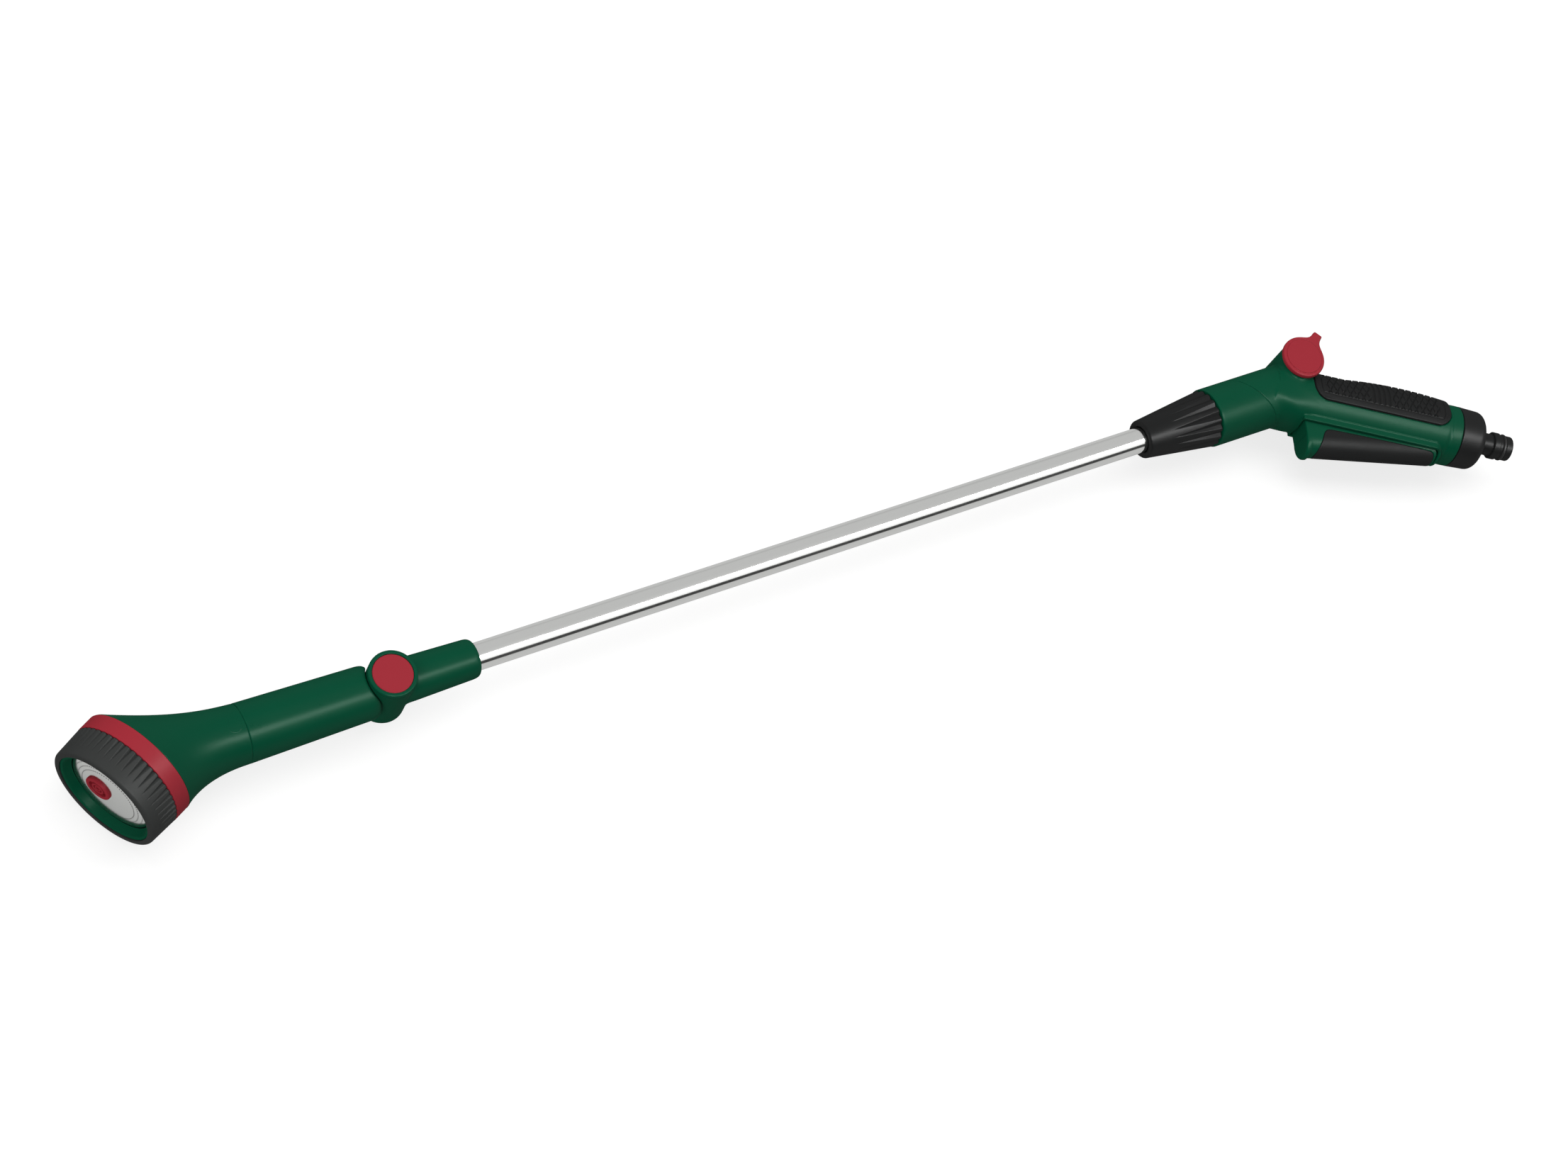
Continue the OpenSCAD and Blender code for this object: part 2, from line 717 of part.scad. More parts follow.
module handle_body() {
  pad_r = grip_r - pad_seat;
  shoulder = grip_len - 10;
  passage = 4;
  color(green) difference() {
    union() {
      from_elbow() intersection() {
        rod(-barrel_len, 0, barrel_r);
        behind_seam(0.1);
      }
      from_elbow() rod(joint_x, 0, joint_r);
      from_elbow() rotate([0, 90, 0]) sphere(barrel_r + 0.4);
      on_grip() difference() {
        union() {
          turn([[0, 0], [barrel_r, 0], [grip_r, 12], [grip_r, shoulder], [grip_end_r, shoulder + 3],
                [grip_end_r, grip_len], [0, grip_len]]);
          translate([rim_front, -rim_drop, -rim_w])
            cube([rim_back - rim_front, rim_drop - pocket_top, 2 * rim_w]);
          translate([pocket_back, rim_w - tail_drop, 0]) rod(0, tail_t, rim_w);
        }
        intersection() {
          pad_zone(slip);
          ring(pad_x - over, grip_len, 2 * grip_r, pad_r);
        }
      }
      on_valve() post(-valve_h, valve_h, valve_r);
    }
    on_valve() post(-valve_h - over, valve_h + over, valve_bore);
    from_elbow() rod(-barrel_len, valve_x - 0.2, barrel_bore);
    on_grip() {
      rod(cavity_x, grip_len + over, grip_bore);
      translate([pocket_front, -2 * rim_drop, -pocket_w])
        cube([pocket_back - pocket_front, 2 * rim_drop - pocket_top, 2 * pocket_w]);
      translate([cavity_x + passage, 1.5, 0]) rotate([0, 0, 135]) rod(0, 16, passage);
      translate([pin_x, -pin_drop, 0]) post(-pin_reach - gap, pin_reach + gap, pin_r + slip / 2);
    }
  }
}

// Soft pad: a straight round shell with a bent one rising out of it as the hump
module grip_pad() {
  inner = grip_r - pad_seat + slip / 2;
  outer = grip_r + pad_edge;
  sweep = 30;
  hump_inset = 0.3;
  color(black) difference() {
    on_grip() intersection() {
      pad_zone();
      union() {
        rod(pad_x - over, pad_x + pad_len + over, outer);
        translate([pad_hump_x, pad_hump + hump_inset - pad_bend, 0]) rotate([0, 0, 90 - sweep / 2])
          rotate_extrude(angle = sweep, $fn = 600) translate([pad_bend, 0])
            circle(outer - hump_inset, $fn = 96);
      }
    }
    on_grip() rod(pad_x - 2 * over, pad_x + pad_len + 2 * over, inner);
    on_valve() post(-2 * valve_h, 2 * valve_h, valve_r + slip);
  }
}

// Flow valve

module valve_plug() {
  notch = 6.5;
  flow = [-75, -165];
  color(black) on_valve() difference() {
    union() {
      post(plug_low, plug_high, plug_r);
      post(plug_high - over, knob_low + knob_t - 1.5, knob_stem_r);
    }
    rotate([0, 0, (flow[0] + flow[1]) / 2 + grip_angle]) translate([plug_r - 2, 0, 0])
      post(-5, 5, notch);
    for (z = [plug_low + 4, plug_high - 4]) groove_z(z, plug_r - 2 * seal_r, plug_r + over);
  }
}

module valve_o_rings()
  color(rubber) on_valve()
    for (z = [plug_low + 4, plug_high - 4]) seal_z(z, plug_r - seal_r + 0.05, seal_r - 0.1);

module valve_gland()
  color(black) on_valve() difference() {
    post(plug_high + gap, valve_h - slip, valve_bore - slip);
    post(plug_high, valve_h, knob_stem_r + gap);
  }

module valve_cap()
  color(green) on_valve() post(-valve_h, plug_low - gap, valve_bore - slip);

module valve_knob() {
  high = knob_low + knob_t;
  edge = 0.9;
  root = knob_r * 0.7;
  half = tab_w / 2;
  color(red) on_valve() difference() {
    union() {
      rotate_extrude() polygon(concat(
        [[0, knob_low], [knob_r - 0.3, knob_low], [knob_r, knob_low + 0.3]],
        arc([knob_r - edge, high - edge], edge, 0, 90), [[0, high]]));
      rotate([0, 0, tab_angle]) translate([0, 0, knob_low + 0.3]) linear_extrude(knob_t - 0.6)
        polygon([[root, -2.1 * half], [knob_r, -1.6 * half], [knob_r + 2.4, -half], [tab_reach, -half],
                 [tab_reach, half], [knob_r + 2.4, half], [knob_r, 1.6 * half], [root, 2.1 * half]]);
    }
    post(knob_low - over, high - 1.3, knob_stem_r + slip);
    translate([0, 0, high - 0.3]) rotate_extrude() translate([knob_r - 2.2, 0]) square([0.4, over]);
  }
}

// Trigger, measured from its hinge

// Channel with a rounded floor: half width, and where it starts and ends
module channel(w, x0, x1) {
  intersection() {
    translate([0, trigger_axis, 0]) rod(x0, x1, w);
    translate([x0, trigger_axis - w - over, -w - over]) cube([x1 - x0, w + 2 * over, 2 * (w + over)]);
  }
  translate([0, 0, -w]) linear_extrude(2 * w)
    polygon([[x0, trigger_axis], [x1, trigger_axis], [x1, 3.9], [x0, 10.6]]);
}

// Side outline of the soft insert, extruded across the trigger
module insert_zone() {
  front = -trigger_len;
  deep = trigger_drop + over;
  translate([0, 0, -2 * trigger_w]) linear_extrude(4 * trigger_w)
    polygon([[front + 17, 2], [front + 13, 1.2], [front + 10.8, -1.2], [front + 7.4, -7.5],
             [front + 4.6, -deep], [trigger_back - 1.4, -deep], [trigger_back - 1.4, -9.6]]);
}

skin_t = 0.9;

module trigger()
  color(green) on_trigger() difference() {
    union() {
      channel(trigger_w, -trigger_len, trigger_back);
      translate([0, trigger_axis - 2, 0]) rod(-trigger_len, -trigger_len + 2.6, trigger_w - 0.4);
    }
    channel(trigger_w - trigger_wall, -trigger_len + trigger_wall, trigger_back - trigger_wall);
    translate([-trigger_len + trigger_wall, trigger_axis, -trigger_w + trigger_wall])
      cube([trigger_len + trigger_back - 2 * trigger_wall, 2 * trigger_drop,
            2 * (trigger_w - trigger_wall)]);
    difference() {
      insert_zone();
      channel(trigger_w - skin_t, -2 * trigger_len, trigger_len);
    }
    post(-2 * trigger_w, 2 * trigger_w, pin_r + run);
  }

module trigger_insert()
  color(black) on_trigger() intersection() {
    insert_zone();
    difference() {
      channel(trigger_w, -trigger_len, trigger_back);
      channel(trigger_w - skin_t + slip / 2, -2 * trigger_len, trigger_len);
    }
  }

module trigger_pin()
  color("silver") on_grip() translate([pin_x, -pin_drop, 0]) post(-pin_reach, pin_reach, pin_r);

// Trigger valve: the plunger runs square to the grip, along Y

module on_plunger() on_grip() translate([plunger_x, 0, 0]) rotate([0, 0, 90]) children();

module plunger() {
  land = pipe_bore + 0.1;
  color(grey) on_plunger() difference() {
    union() {
      rod(-land, spool_high, plunger_r);
      rod(spool_low, spool_low + 3, plunger_r);
      rod(tip_y, 0, stem_r);
      translate([tip_y, 0, 0]) sphere(stem_r);
    }
    for (x = plunger_seals()) groove_x(x, plunger_r - 1.4, plunger_r + over, plunger_seal_r);
  }
}

plunger_seal_r = 0.6;
function plunger_seals() = [spool_high - 1.2, -pipe_bore + 1.2, spool_low + 1.5];

module plunger_o_rings()
  color(rubber) on_plunger() for (x = plunger_seals()) seal_x(x, plunger_r - 0.68, plunger_seal_r);

module valve_core() {
  front = cavity_x + 2.2;
  back = grip_len - 10.7;
  flange = 3.5;
  color(black) on_grip() difference() {
    union() {
      rod(front, back + flange, pipe_r);
      rod(back, back + flange, cup_r - 0.4);
      translate([plunger_x, 0, 0]) rotate([0, 0, 90]) rod(boss_low, boss_high, spool_boss_r);
    }
    rod(front - over, back + flange + over, pipe_bore);
    rod(front - over, front + 5, pipe_r - 2);
    translate([plunger_x, 0, 0]) rotate([0, 0, 90]) rod(boss_low - over, boss_high - 1.4, spool_bore);
  }
}

module core_seal()
  color(rubber) on_grip() ring(cavity_x + slip, cavity_x + 2.1, pipe_r - 0.1, pipe_r - 1.6);

// Coil of round wire about the plunger: one tube swept along a helix
module return_spring() {
  rings = 8;
  sides = 6;
  count = spring_turns * rings;
  drop = spring_top - spring_low;
  function at(k) = [spring_top - drop * k / count, spring_r, 360 * k / rings];
  function wire_point(k, s) =
    let(p = at(k), a = 360 * s / sides, r = p[1] + wire_r * cos(a))
    [p[0] + wire_r * sin(a), r * cos(p[2]), r * sin(p[2])];
  points = [for (k = [0:count]) for (s = [0:sides - 1]) wire_point(k, s)];
  walls = [for (k = [0:count - 1]) for (s = [0:sides - 1])
    let(t = (s + 1) % sides, p = k * sides, q = p + sides)
    each [[p + s, q + s, q + t], [p + s, q + t, p + t]]];
  last = count * sides;
  caps = [for (s = [1:sides - 2]) each [[0, s, s + 1], [last, last + s + 1, last + s]]];
  echo(spring_gap = drop / spring_turns - 2 * wire_r);
  color("silver") on_plunger() polyhedron(points, concat(walls, caps), convexity = 8);
}

// Hose end, measured along the grip

module inlet_collar() {
  start = grip_len + gap;
  plug = grip_len - plug_len;
  end_r = grip_end_r - 0.8;
  color(black) on_grip() difference() {
    turn(concat(
      [[cup_r, plug], [grip_bore - slip, plug], [grip_bore - slip, start], [grip_end_r, start]],
      arc([end_r - collar_round, collar_end - collar_round], collar_round, 0, 90),
      [[shank_r + slip, collar_end], [shank_r + slip, cup_end], [cup_r, cup_end]]));
  }
}

module inlet_seal() {
  start = grip_len - 7.1;
  color(rubber) on_grip() ring(start, start + 2, cup_r - 0.5, pipe_bore + 1);
}

// Cone of the filter, standing on its ring against the washer
module inlet_filter() {
  start = grip_len - 5;
  skin = 0.8;
  color(grey) on_grip() turn([
    [8, start], [cup_r - 0.5, start], [cup_r - 0.5, start + 1.5], [8 + skin, start + 1.5],
    [2 + skin, start + 11], [0, start + 11], [0, start + 11 - skin], [2, start + 11 - skin]]);
}

module hose_nipple() {
  low = cup_end - flange_t;
  chamfer = 0.5;
  ridge_end = ridge_x + ridge_len;
  round_r = 1;
  color(black) on_grip() difference() {
    turn(concat(
      [[nipple_bore, low], [cup_r - slip, low], [cup_r - slip, cup_end - slip], [shank_r, cup_end - slip],
       [shank_r, collar_end], [waist_r, collar_end + 0.6], [waist_r, ridge_x], [ridge_r - chamfer, ridge_x],
       [ridge_r, ridge_x + chamfer], [ridge_r, ridge_end - chamfer], [ridge_r - chamfer, ridge_end],
       [tip_r, ridge_end]],
      arc([tip_r - round_r, nipple_end - round_r], round_r, 0, 90),
      [[nipple_bore, nipple_end]]));
    groove_x(nipple_seal_x, tip_r - 1.8, ridge_r + over, nipple_seal_r);
  }
}

module nipple_o_ring()
  color(rubber) on_grip() seal_x(nipple_seal_x, ridge_r - nipple_seal_r - 0.1, nipple_seal_r);

tube();
tube_socket();
swivel_cap();
seat_seal();
socket_seal();
neck();
neck_seal();
swivel_core();
swivel_o_rings();
bell();
accent_ring();
port_plate();
port_seal();
dial_screw();
bezel();
face_cup();
spray_plate();
jet_nozzle();
dial_core();
dial_seal();
clamp_nut();
collet();
tube_seal();
barrel_front();
handle_body();
grip_pad();
valve_plug();
valve_o_rings();
valve_gland();
valve_cap();
valve_knob();
trigger();
trigger_insert();
trigger_pin();
plunger();
plunger_o_rings();
return_spring();
valve_core();
core_seal();
inlet_collar();
inlet_seal();
inlet_filter();
hose_nipple();
nipple_o_ring();
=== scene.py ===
import json
import math

import bmesh
import bpy
import numpy as np
from mathutils import Matrix, Vector


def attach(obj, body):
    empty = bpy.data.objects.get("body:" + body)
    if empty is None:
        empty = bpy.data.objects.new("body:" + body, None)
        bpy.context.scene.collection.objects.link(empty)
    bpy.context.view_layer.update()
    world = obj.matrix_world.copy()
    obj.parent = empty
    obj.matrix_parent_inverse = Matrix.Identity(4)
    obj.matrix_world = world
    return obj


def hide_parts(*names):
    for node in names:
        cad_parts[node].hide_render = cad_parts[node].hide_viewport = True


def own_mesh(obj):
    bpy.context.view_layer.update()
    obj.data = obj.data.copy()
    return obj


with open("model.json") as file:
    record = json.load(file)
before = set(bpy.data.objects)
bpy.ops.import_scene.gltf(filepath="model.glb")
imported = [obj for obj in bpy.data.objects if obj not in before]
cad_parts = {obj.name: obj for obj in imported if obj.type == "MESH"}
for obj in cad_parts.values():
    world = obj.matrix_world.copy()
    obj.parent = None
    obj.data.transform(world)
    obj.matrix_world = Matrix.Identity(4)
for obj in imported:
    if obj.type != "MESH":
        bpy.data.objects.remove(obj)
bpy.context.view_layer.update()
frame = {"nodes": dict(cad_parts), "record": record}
print("frame loaded")

# every local size below is in mm; the frames take them to metres
mm = 0.001
far = 200.0  # past the end of any piece
layout = {
    "elbow": (-133.0065, 77.7225), "gripAngle": 30.3, "pivotX": -748.4061, "rim": (-891.4061, 79.9225),
    "faceTilt": 27.7, "pin": (101.0, -13.5), "triggerSlope": 9.3, "valve": (10.2, 18.9),
}


def flatFrame(origin, angle):
    # a frame lying in the XY plane, turned by angle about Z
    turn = Matrix.Rotation(math.radians(angle), 4, "Z")
    return Matrix.Translation((origin[0] * mm, origin[1] * mm, 0)) @ turn @ Matrix.Scale(mm, 4)


def gripPoint(x, y):
    turn = math.radians(layout["gripAngle"])
    ex, ey = layout["elbow"]
    cos, sin = math.cos(turn), math.sin(turn)
    return (ex + x * cos + y * sin, ey - x * sin + y * cos)


tubeFrame = flatFrame(layout["elbow"], 0)
gripFrame = flatFrame(layout["elbow"], -layout["gripAngle"])
pivotFrame = flatFrame((layout["pivotX"], layout["elbow"][1]), 0)
rimFrame = flatFrame(layout["rim"], 180 + layout["faceTilt"])
valveFrame = flatFrame(gripPoint(*layout["valve"]), -layout["gripAngle"])
triggerFrame = flatFrame(gripPoint(*layout["pin"]), layout["triggerSlope"] - layout["gripAngle"])


# node tools
def newGroup(name, inputs, outputs):
    group = bpy.data.node_groups.new(name, "ShaderNodeTree")
    kinds = {True: "NodeSocketColor", False: "NodeSocketFloat"}
    for label, value in inputs.items():
        socket = group.interface.new_socket(label, in_out="INPUT", socket_type=kinds[label == "Color"])
        socket.default_value = value
    for label in outputs:
        group.interface.new_socket(label, in_out="OUTPUT", socket_type=kinds[label == "Color"])
    return group, group.nodes.new("NodeGroupInput"), group.nodes.new("NodeGroupOutput")


def fill(tree, node, values):
    # links other nodes' outputs and sets plain values, by the input's label or number
    for label, value in values.items():
        if isinstance(value, bpy.types.NodeSocket):
            tree.links.new(value, node.inputs[label])
        else:
            node.inputs[label].default_value = value
    return node


def newNode(tree, kind, values, operation=None):
    node = tree.nodes.new(kind)
    if operation:
        node.operation = operation
    return fill(tree, node, values)


def mathNode(tree, operation, *values):
    return newNode(tree, "ShaderNodeMath", dict(enumerate(values)), operation).outputs[0]


def vectorNode(tree, operation, first, second, result="Vector"):
    label = "Scale" if operation == "SCALE" else 1
    return newNode(tree, "ShaderNodeVectorMath", {0: first, label: second}, operation).outputs[result]


def noiseNode(tree, vector, scale, detail=2.0, rough=0.5):
    values = {"Vector": vector, "Scale": scale, "Detail": detail, "Roughness": rough}
    return newNode(tree, "ShaderNodeTexNoise", values).outputs["Fac"]


def swing(tree, noise):
    # noise about zero
    return mathNode(tree, "SUBTRACT", noise, 0.5)


def bumpNode(tree, height, strength, distance):
    values = {"Height": height, "Strength": strength, "Distance": distance}
    return newNode(tree, "ShaderNodeBump", values)


def rampNode(tree, value, low, high, atLow, atHigh):
    values = {"Value": value, "From Min": low, "From Max": high, "To Min": atLow, "To Max": atHigh}
    node = newNode(tree, "ShaderNodeMapRange", values)
    node.interpolation_type = "SMOOTHSTEP"
    return node.outputs["Result"]


def coords(tree, kind="Object"):
    return tree.nodes.new("ShaderNodeTexCoord").outputs[kind]


# moulded skin: fine spark texture, slow roughness drift and a faint change of tone
skinNoise = {"slow": 28.0, "patch": 160.0, "driftDetail": 3.0, "sparkDetail": 2.0, "rough": 0.6}


def makeMouldedSkin():
    s = skinNoise
    tree, into, out = newGroup(
        "mouldedSkin",
        {"Color": (0.5, 0.5, 0.5, 1), "Tone Drift": 0.06, "Roughness": 0.35, "Roughness Drift": 0.08,
         "Spark Scale": 2400.0}, ("Color", "Roughness", "Height"))
    at = coords(tree)
    slow = swing(tree, noiseNode(tree, at, s["slow"], s["driftDetail"]))
    patch = swing(tree, noiseNode(tree, at, s["patch"], s["driftDetail"], s["rough"]))
    spark = noiseNode(tree, at, into.outputs["Spark Scale"], s["sparkDetail"], s["rough"])
    tone = mathNode(tree, "MULTIPLY_ADD", slow, into.outputs["Tone Drift"], 1.0)
    tinted = vectorNode(tree, "SCALE", into.outputs["Color"], tone)
    drift = mathNode(tree, "ADD", slow, patch)
    rough = mathNode(
        tree, "MULTIPLY_ADD", drift, into.outputs["Roughness Drift"], into.outputs["Roughness"])
    fill(tree, out, {"Color": tinted, "Roughness": rough, "Height": spark})
    return tree


mouldedSkin = makeMouldedSkin()


def plainMaterial(name):
    material = bpy.data.materials.new(name)
    material.use_nodes = True
    return material, material.node_tree, material.node_tree.nodes["Principled BSDF"]


def groupNode(tree, group, look):
    # a shared group with one material's own values
    node = tree.nodes.new("ShaderNodeGroup")
    node.node_tree = group
    return fill(tree, node, {label: look[label] for label in node.inputs.keys()})


plasticLook = {"sparkDepth": 0.0002, "fadePower": 1.2, "dullest": 0.9}


def mouldedPlastic(name, look):
    s = plasticLook
    material, tree, shader = plainMaterial(name)
    group = groupNode(tree, mouldedSkin, look)
    skin = bumpNode(tree, group.outputs["Height"], look["Spark"], s["sparkDepth"])
    # the sheen fades towards the outline
    facing = tree.nodes.new("ShaderNodeLayerWeight").outputs["Facing"]
    fade = mathNode(tree, "POWER", facing, s["fadePower"])
    dull = mathNode(tree, "ADD", fade, group.outputs["Roughness"])
    fill(tree, shader, {
        "Base Color": group.outputs["Color"], "Roughness": mathNode(tree, "MINIMUM", dull, s["dullest"]),
        "Specular IOR Level": look["Specular"], "Normal": skin.outputs["Normal"]})
    return material


# one row for each plastic
plasticColumns = ("Color", "Tone Drift", "Roughness", "Roughness Drift", "Spark Scale", "Spark", "Specular")
plasticRows = {
    "greenShell": ((0.0004, 0.064, 0.030, 1), 0.10, 0.26, 0.08, 2600.0, 0.05, 0.06),
    "redShell": ((0.32, 0.022, 0.034, 1), 0.08, 0.34, 0.10, 2600.0, 0.05, 0.08),
    "blackShell": ((0.0105, 0.011, 0.011, 1), 0.10, 0.28, 0.12, 2200.0, 0.10, 0.11),
    "softGrip": ((0.0105, 0.011, 0.011, 1), 0.14, 0.42, 0.14, 1800.0, 0.16, 0.09),
    "bezelSkin": ((0.034, 0.036, 0.035, 1), 0.12, 0.46, 0.12, 2000.0, 0.14, 0.1),
    "innerBlack": ((0.022, 0.022, 0.024, 1), 0.10, 0.5, 0.12, 1800.0, 0.08, 0.3),
    "sealRubber": ((0.010, 0.010, 0.010, 1), 0.10, 0.42, 0.10, 1800.0, 0.05, 0.3),
}
plastics = {name: dict(zip(plasticColumns, row)) for name, row in plasticRows.items()}
finishes = {name: mouldedPlastic(name, look) for name, look in plastics.items()}

# drawn metal: fine lines along the drawing direction and a slow roughness change
lineNoise = {"slow": 22.0, "slowDetail": 2.0, "lineDetail": 3.0, "lineRough": 0.7, "depth": 0.0001}


def makeDrawnLines():
    s = lineNoise
    tree, into, out = newGroup(
        "drawnLines",
        {"Stretch": 0.01, "Line Scale": 2500.0, "Roughness": 0.12, "Roughness Drift": 0.05},
        ("Roughness", "Height"))
    at = coords(tree)
    pull = newNode(tree, "ShaderNodeCombineXYZ", {"X": into.outputs["Stretch"], "Y": 1.0, "Z": 1.0})
    drawn = vectorNode(tree, "MULTIPLY", at, pull.outputs[0])
    lines = noiseNode(tree, drawn, into.outputs["Line Scale"], s["lineDetail"], s["lineRough"])
    slow = noiseNode(tree, at, s["slow"], s["slowDetail"])
    both = mathNode(tree, "ADD", swing(tree, lines), swing(tree, slow))
    rough = mathNode(
        tree, "MULTIPLY_ADD", both, into.outputs["Roughness Drift"], into.outputs["Roughness"])
    fill(tree, out, {"Roughness": rough, "Height": lines})
    return tree


drawnLines = makeDrawnLines()


def drawnMetal(name, look):
    material, tree, shader = plainMaterial(name)
    group = groupNode(tree, drawnLines, look)
    skin = bumpNode(tree, group.outputs["Height"], look["Bump"], lineNoise["depth"])
    fill(tree, shader, {
        "Base Color": look["Color"], "Metallic": 1.0, "Roughness": group.outputs["Roughness"],
        "Normal": skin.outputs["Normal"]})
    return material


metalColumns = ("Color", "Stretch", "Line Scale", "Roughness", "Roughness Drift", "Bump")
metalRows = {
    "polishedTube": ((0.79, 0.795, 0.78, 1), 0.008, 1500.0, 0.13, 0.06, 0.03),
    "brightPlate": ((0.74, 0.75, 0.73, 1), 1.0, 2400.0, 0.16, 0.05, 0.03),
    "plainSteel": ((0.55, 0.56, 0.57, 1), 0.2, 900.0, 0.3, 0.1, 0.05),
}
for metalName, row in metalRows.items():
    finishes[metalName] = drawnMetal(metalName, dict(zip(metalColumns, row)))

# the bell's own finish: the green shell with the faint round mark of its moulding gate, in metres
gateMark = {
    "at": (-0.84064, 0.07765, 0.0173), "r": 0.0038, "line": 0.0003, "strength": 0.9, "depth": 0.00006,
}


def markedShell(name):
    s = gateMark
    material = mouldedPlastic(name, plastics["greenShell"])
    tree = material.node_tree
    shader = tree.nodes["Principled BSDF"]
    skin = shader.inputs["Normal"].links[0].from_socket
    away = vectorNode(tree, "DISTANCE", coords(tree), s["at"], "Value")
    off = mathNode(tree, "ABSOLUTE", mathNode(tree, "SUBTRACT", away, s["r"]))
    line = rampNode(tree, off, 0.0, s["line"], 1.0, 0.0)
    mark = fill(tree, bumpNode(tree, line, s["strength"], s["depth"]), {"Normal": skin})
    fill(tree, shader, {"Normal": mark.outputs["Normal"]})
    return material


finishes["greenBell"] = markedShell("greenBell")

slotFinish = {
    "green": "greenShell", "red": "redShell", "black": "blackShell", "soft_black": "softGrip",
    "light_grey": "brightPlate", "inner_black": "innerBlack", "tube_metal": "polishedTube",
    "steel": "plainSteel", "seal": "sealRubber",
}
nodeSlot = {entry["node"]: entry["material_slot"] for entry in frame["record"]["subparts"]}
for nodeName, nodeObject in frame["nodes"].items():
    nodeObject.data.materials.clear()
    nodeObject.data.materials.append(finishes[slotFinish[nodeSlot[nodeName]]])
nodeBody = {node: body for body, nodes in frame["record"]["behaviour"]["bodies"].items() for node in nodes}
print("materials made")


# mesh tools
def addObject(name, data):
    added = bpy.data.objects.new(name, data)
    bpy.context.scene.collection.objects.link(added)
    return added


def place(name, mesh, node, finish=None):
    # the piece stands for one CAD node, on that node's body
    mesh.name = name
    piece = addObject(name, mesh)
    mesh.materials.append(finishes[finish or slotFinish[nodeSlot[node]]])
    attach(piece, nodeBody[node])
    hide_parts(node)
    print("  %s: %d points" % (name, len(mesh.vertices)))
    return piece


def meshFrom(verts, faces, where, normals=None, sharp=None):
    mesh = bpy.data.meshes.new("piece")
    turn = np.array(where)
    world = np.asarray(verts, dtype=float) @ turn[:3, :3].T + turn[:3, 3]
    mesh.from_pydata(world.tolist(), [], [tuple(face) for face in faces])
    mesh.validate()
    mesh.shade_smooth()
    if sharp is not None:
        mesh.set_sharp_from_angle(angle=math.radians(sharp))
    if normals is not None:
        spin = turn[:3, :3] / mm
        mesh.normals_split_custom_set_from_vertices((np.asarray(normals) @ spin.T).tolist())
    mesh.update()
    return mesh


def settled(mesh, near, sharp):
    # points nearer than this, in metres, run together and all faces turn outwards
    work = bmesh.new()
    work.from_mesh(mesh)
    if near:
        bmesh.ops.remove_doubles(work, verts=work.verts, dist=near)
    bmesh.ops.recalc_face_normals(work, faces=work.faces)
    work.to_mesh(mesh)
    work.free()
    mesh.shade_smooth()
    mesh.set_sharp_from_angle(angle=math.radians(sharp))
    mesh.update()
    return mesh


def gridFaces(rows, cols, loop=False, ring=True, flip=False):
    # loop joins the last row to the first, ring the last column to the first
    faces = []
    for i in range(rows if loop else rows - 1):
        here, after = i * cols, (i + 1) % rows * cols
        for j in range(cols if ring else cols - 1):
            k = (j + 1) % cols
            face = (here + j, after + j, after + k, here + k)
            faces.append((face[0], face[3], face[2], face[1]) if flip else face)
    return faces


cornerLook = {"support": 1.25, "most": 0.48, "supportMost": 0.49, "axisNear": 1e-7}


def roundProfile(points, steps=5):
    # points are (x, r) or (x, r, bevel); a bevelled corner becomes an arc with a support point each side
    s = cornerLook
    path = []
    count = len(points)
    for i, point in enumerate(points):
        here = np.array(point[:2], dtype=float)
        bevel = point[2] if len(point) > 2 else 0
        if bevel == 0 or i in (0, count - 1):
            path.append(here)
            continue
        before = np.array(points[i - 1][:2], dtype=float) - here
        after = np.array(points[i + 1][:2], dtype=float) - here
        lenBefore, lenAfter = np.linalg.norm(before), np.linalg.norm(after)
        before, after = before / lenBefore, after / lenAfter
        half = math.acos(float(np.clip(before @ after, -1, 1))) / 2
        reach = min(bevel / math.tan(half), s["most"] * lenBefore, s["most"] * lenAfter)
        radius = reach * math.tan(half)
        mid = (before + after) / np.linalg.norm(before + after)
        centre = here + mid * radius / math.sin(half)
        first = here + before * reach - centre
        last = here + after * reach - centre
        path.append(here + before * min(reach * s["support"], s["supportMost"] * lenBefore))
        for share in (step / steps for step in range(steps + 1)):
            spoke = first * (1 - share) + last * share
            path.append(centre + spoke / np.linalg.norm(spoke) * radius)
        path.append(here + after * min(reach * s["support"], s["supportMost"] * lenAfter))
    return [tuple(point) for point in path]


def fillGaps(path, longest):
    # splits long stretches of a profile so that waves along it have points to move
    full = [path[0]]
    for (x0, r0), (x1, r1) in zip(path, path[1:]):
        n = max(1, math.ceil(math.hypot(x1 - x0, r1 - r0) / longest))
        full += [(x0 + (x1 - x0) * i / n, r0 + (r1 - r0) * i / n) for i in range(1, n + 1)]
    return full


def latheMesh(profile, where, segments, wave=None, loop=True, sharp=40):
    # turns (x, r) points about X; wave(x, r, angle) may change x and the radius
    angles = np.linspace(0, 2 * math.pi, segments, endpoint=False)
    rows = len(profile)
    verts = np.zeros((rows, segments, 3))
    for i, (x, r) in enumerate(profile):
        along, radius = np.full(segments, float(x)), np.full(segments, float(r))
        if wave is not None:
            along, radius = wave(along, radius, angles)
        verts[i] = np.stack([along, radius * np.cos(angles), radius * np.sin(angles)], axis=1)
    mesh = meshFrom(verts.reshape(-1, 3), gridFaces(rows, segments, loop), where)
    # points on the axis run together
    return settled(mesh, cornerLook["axisNear"], sharp)


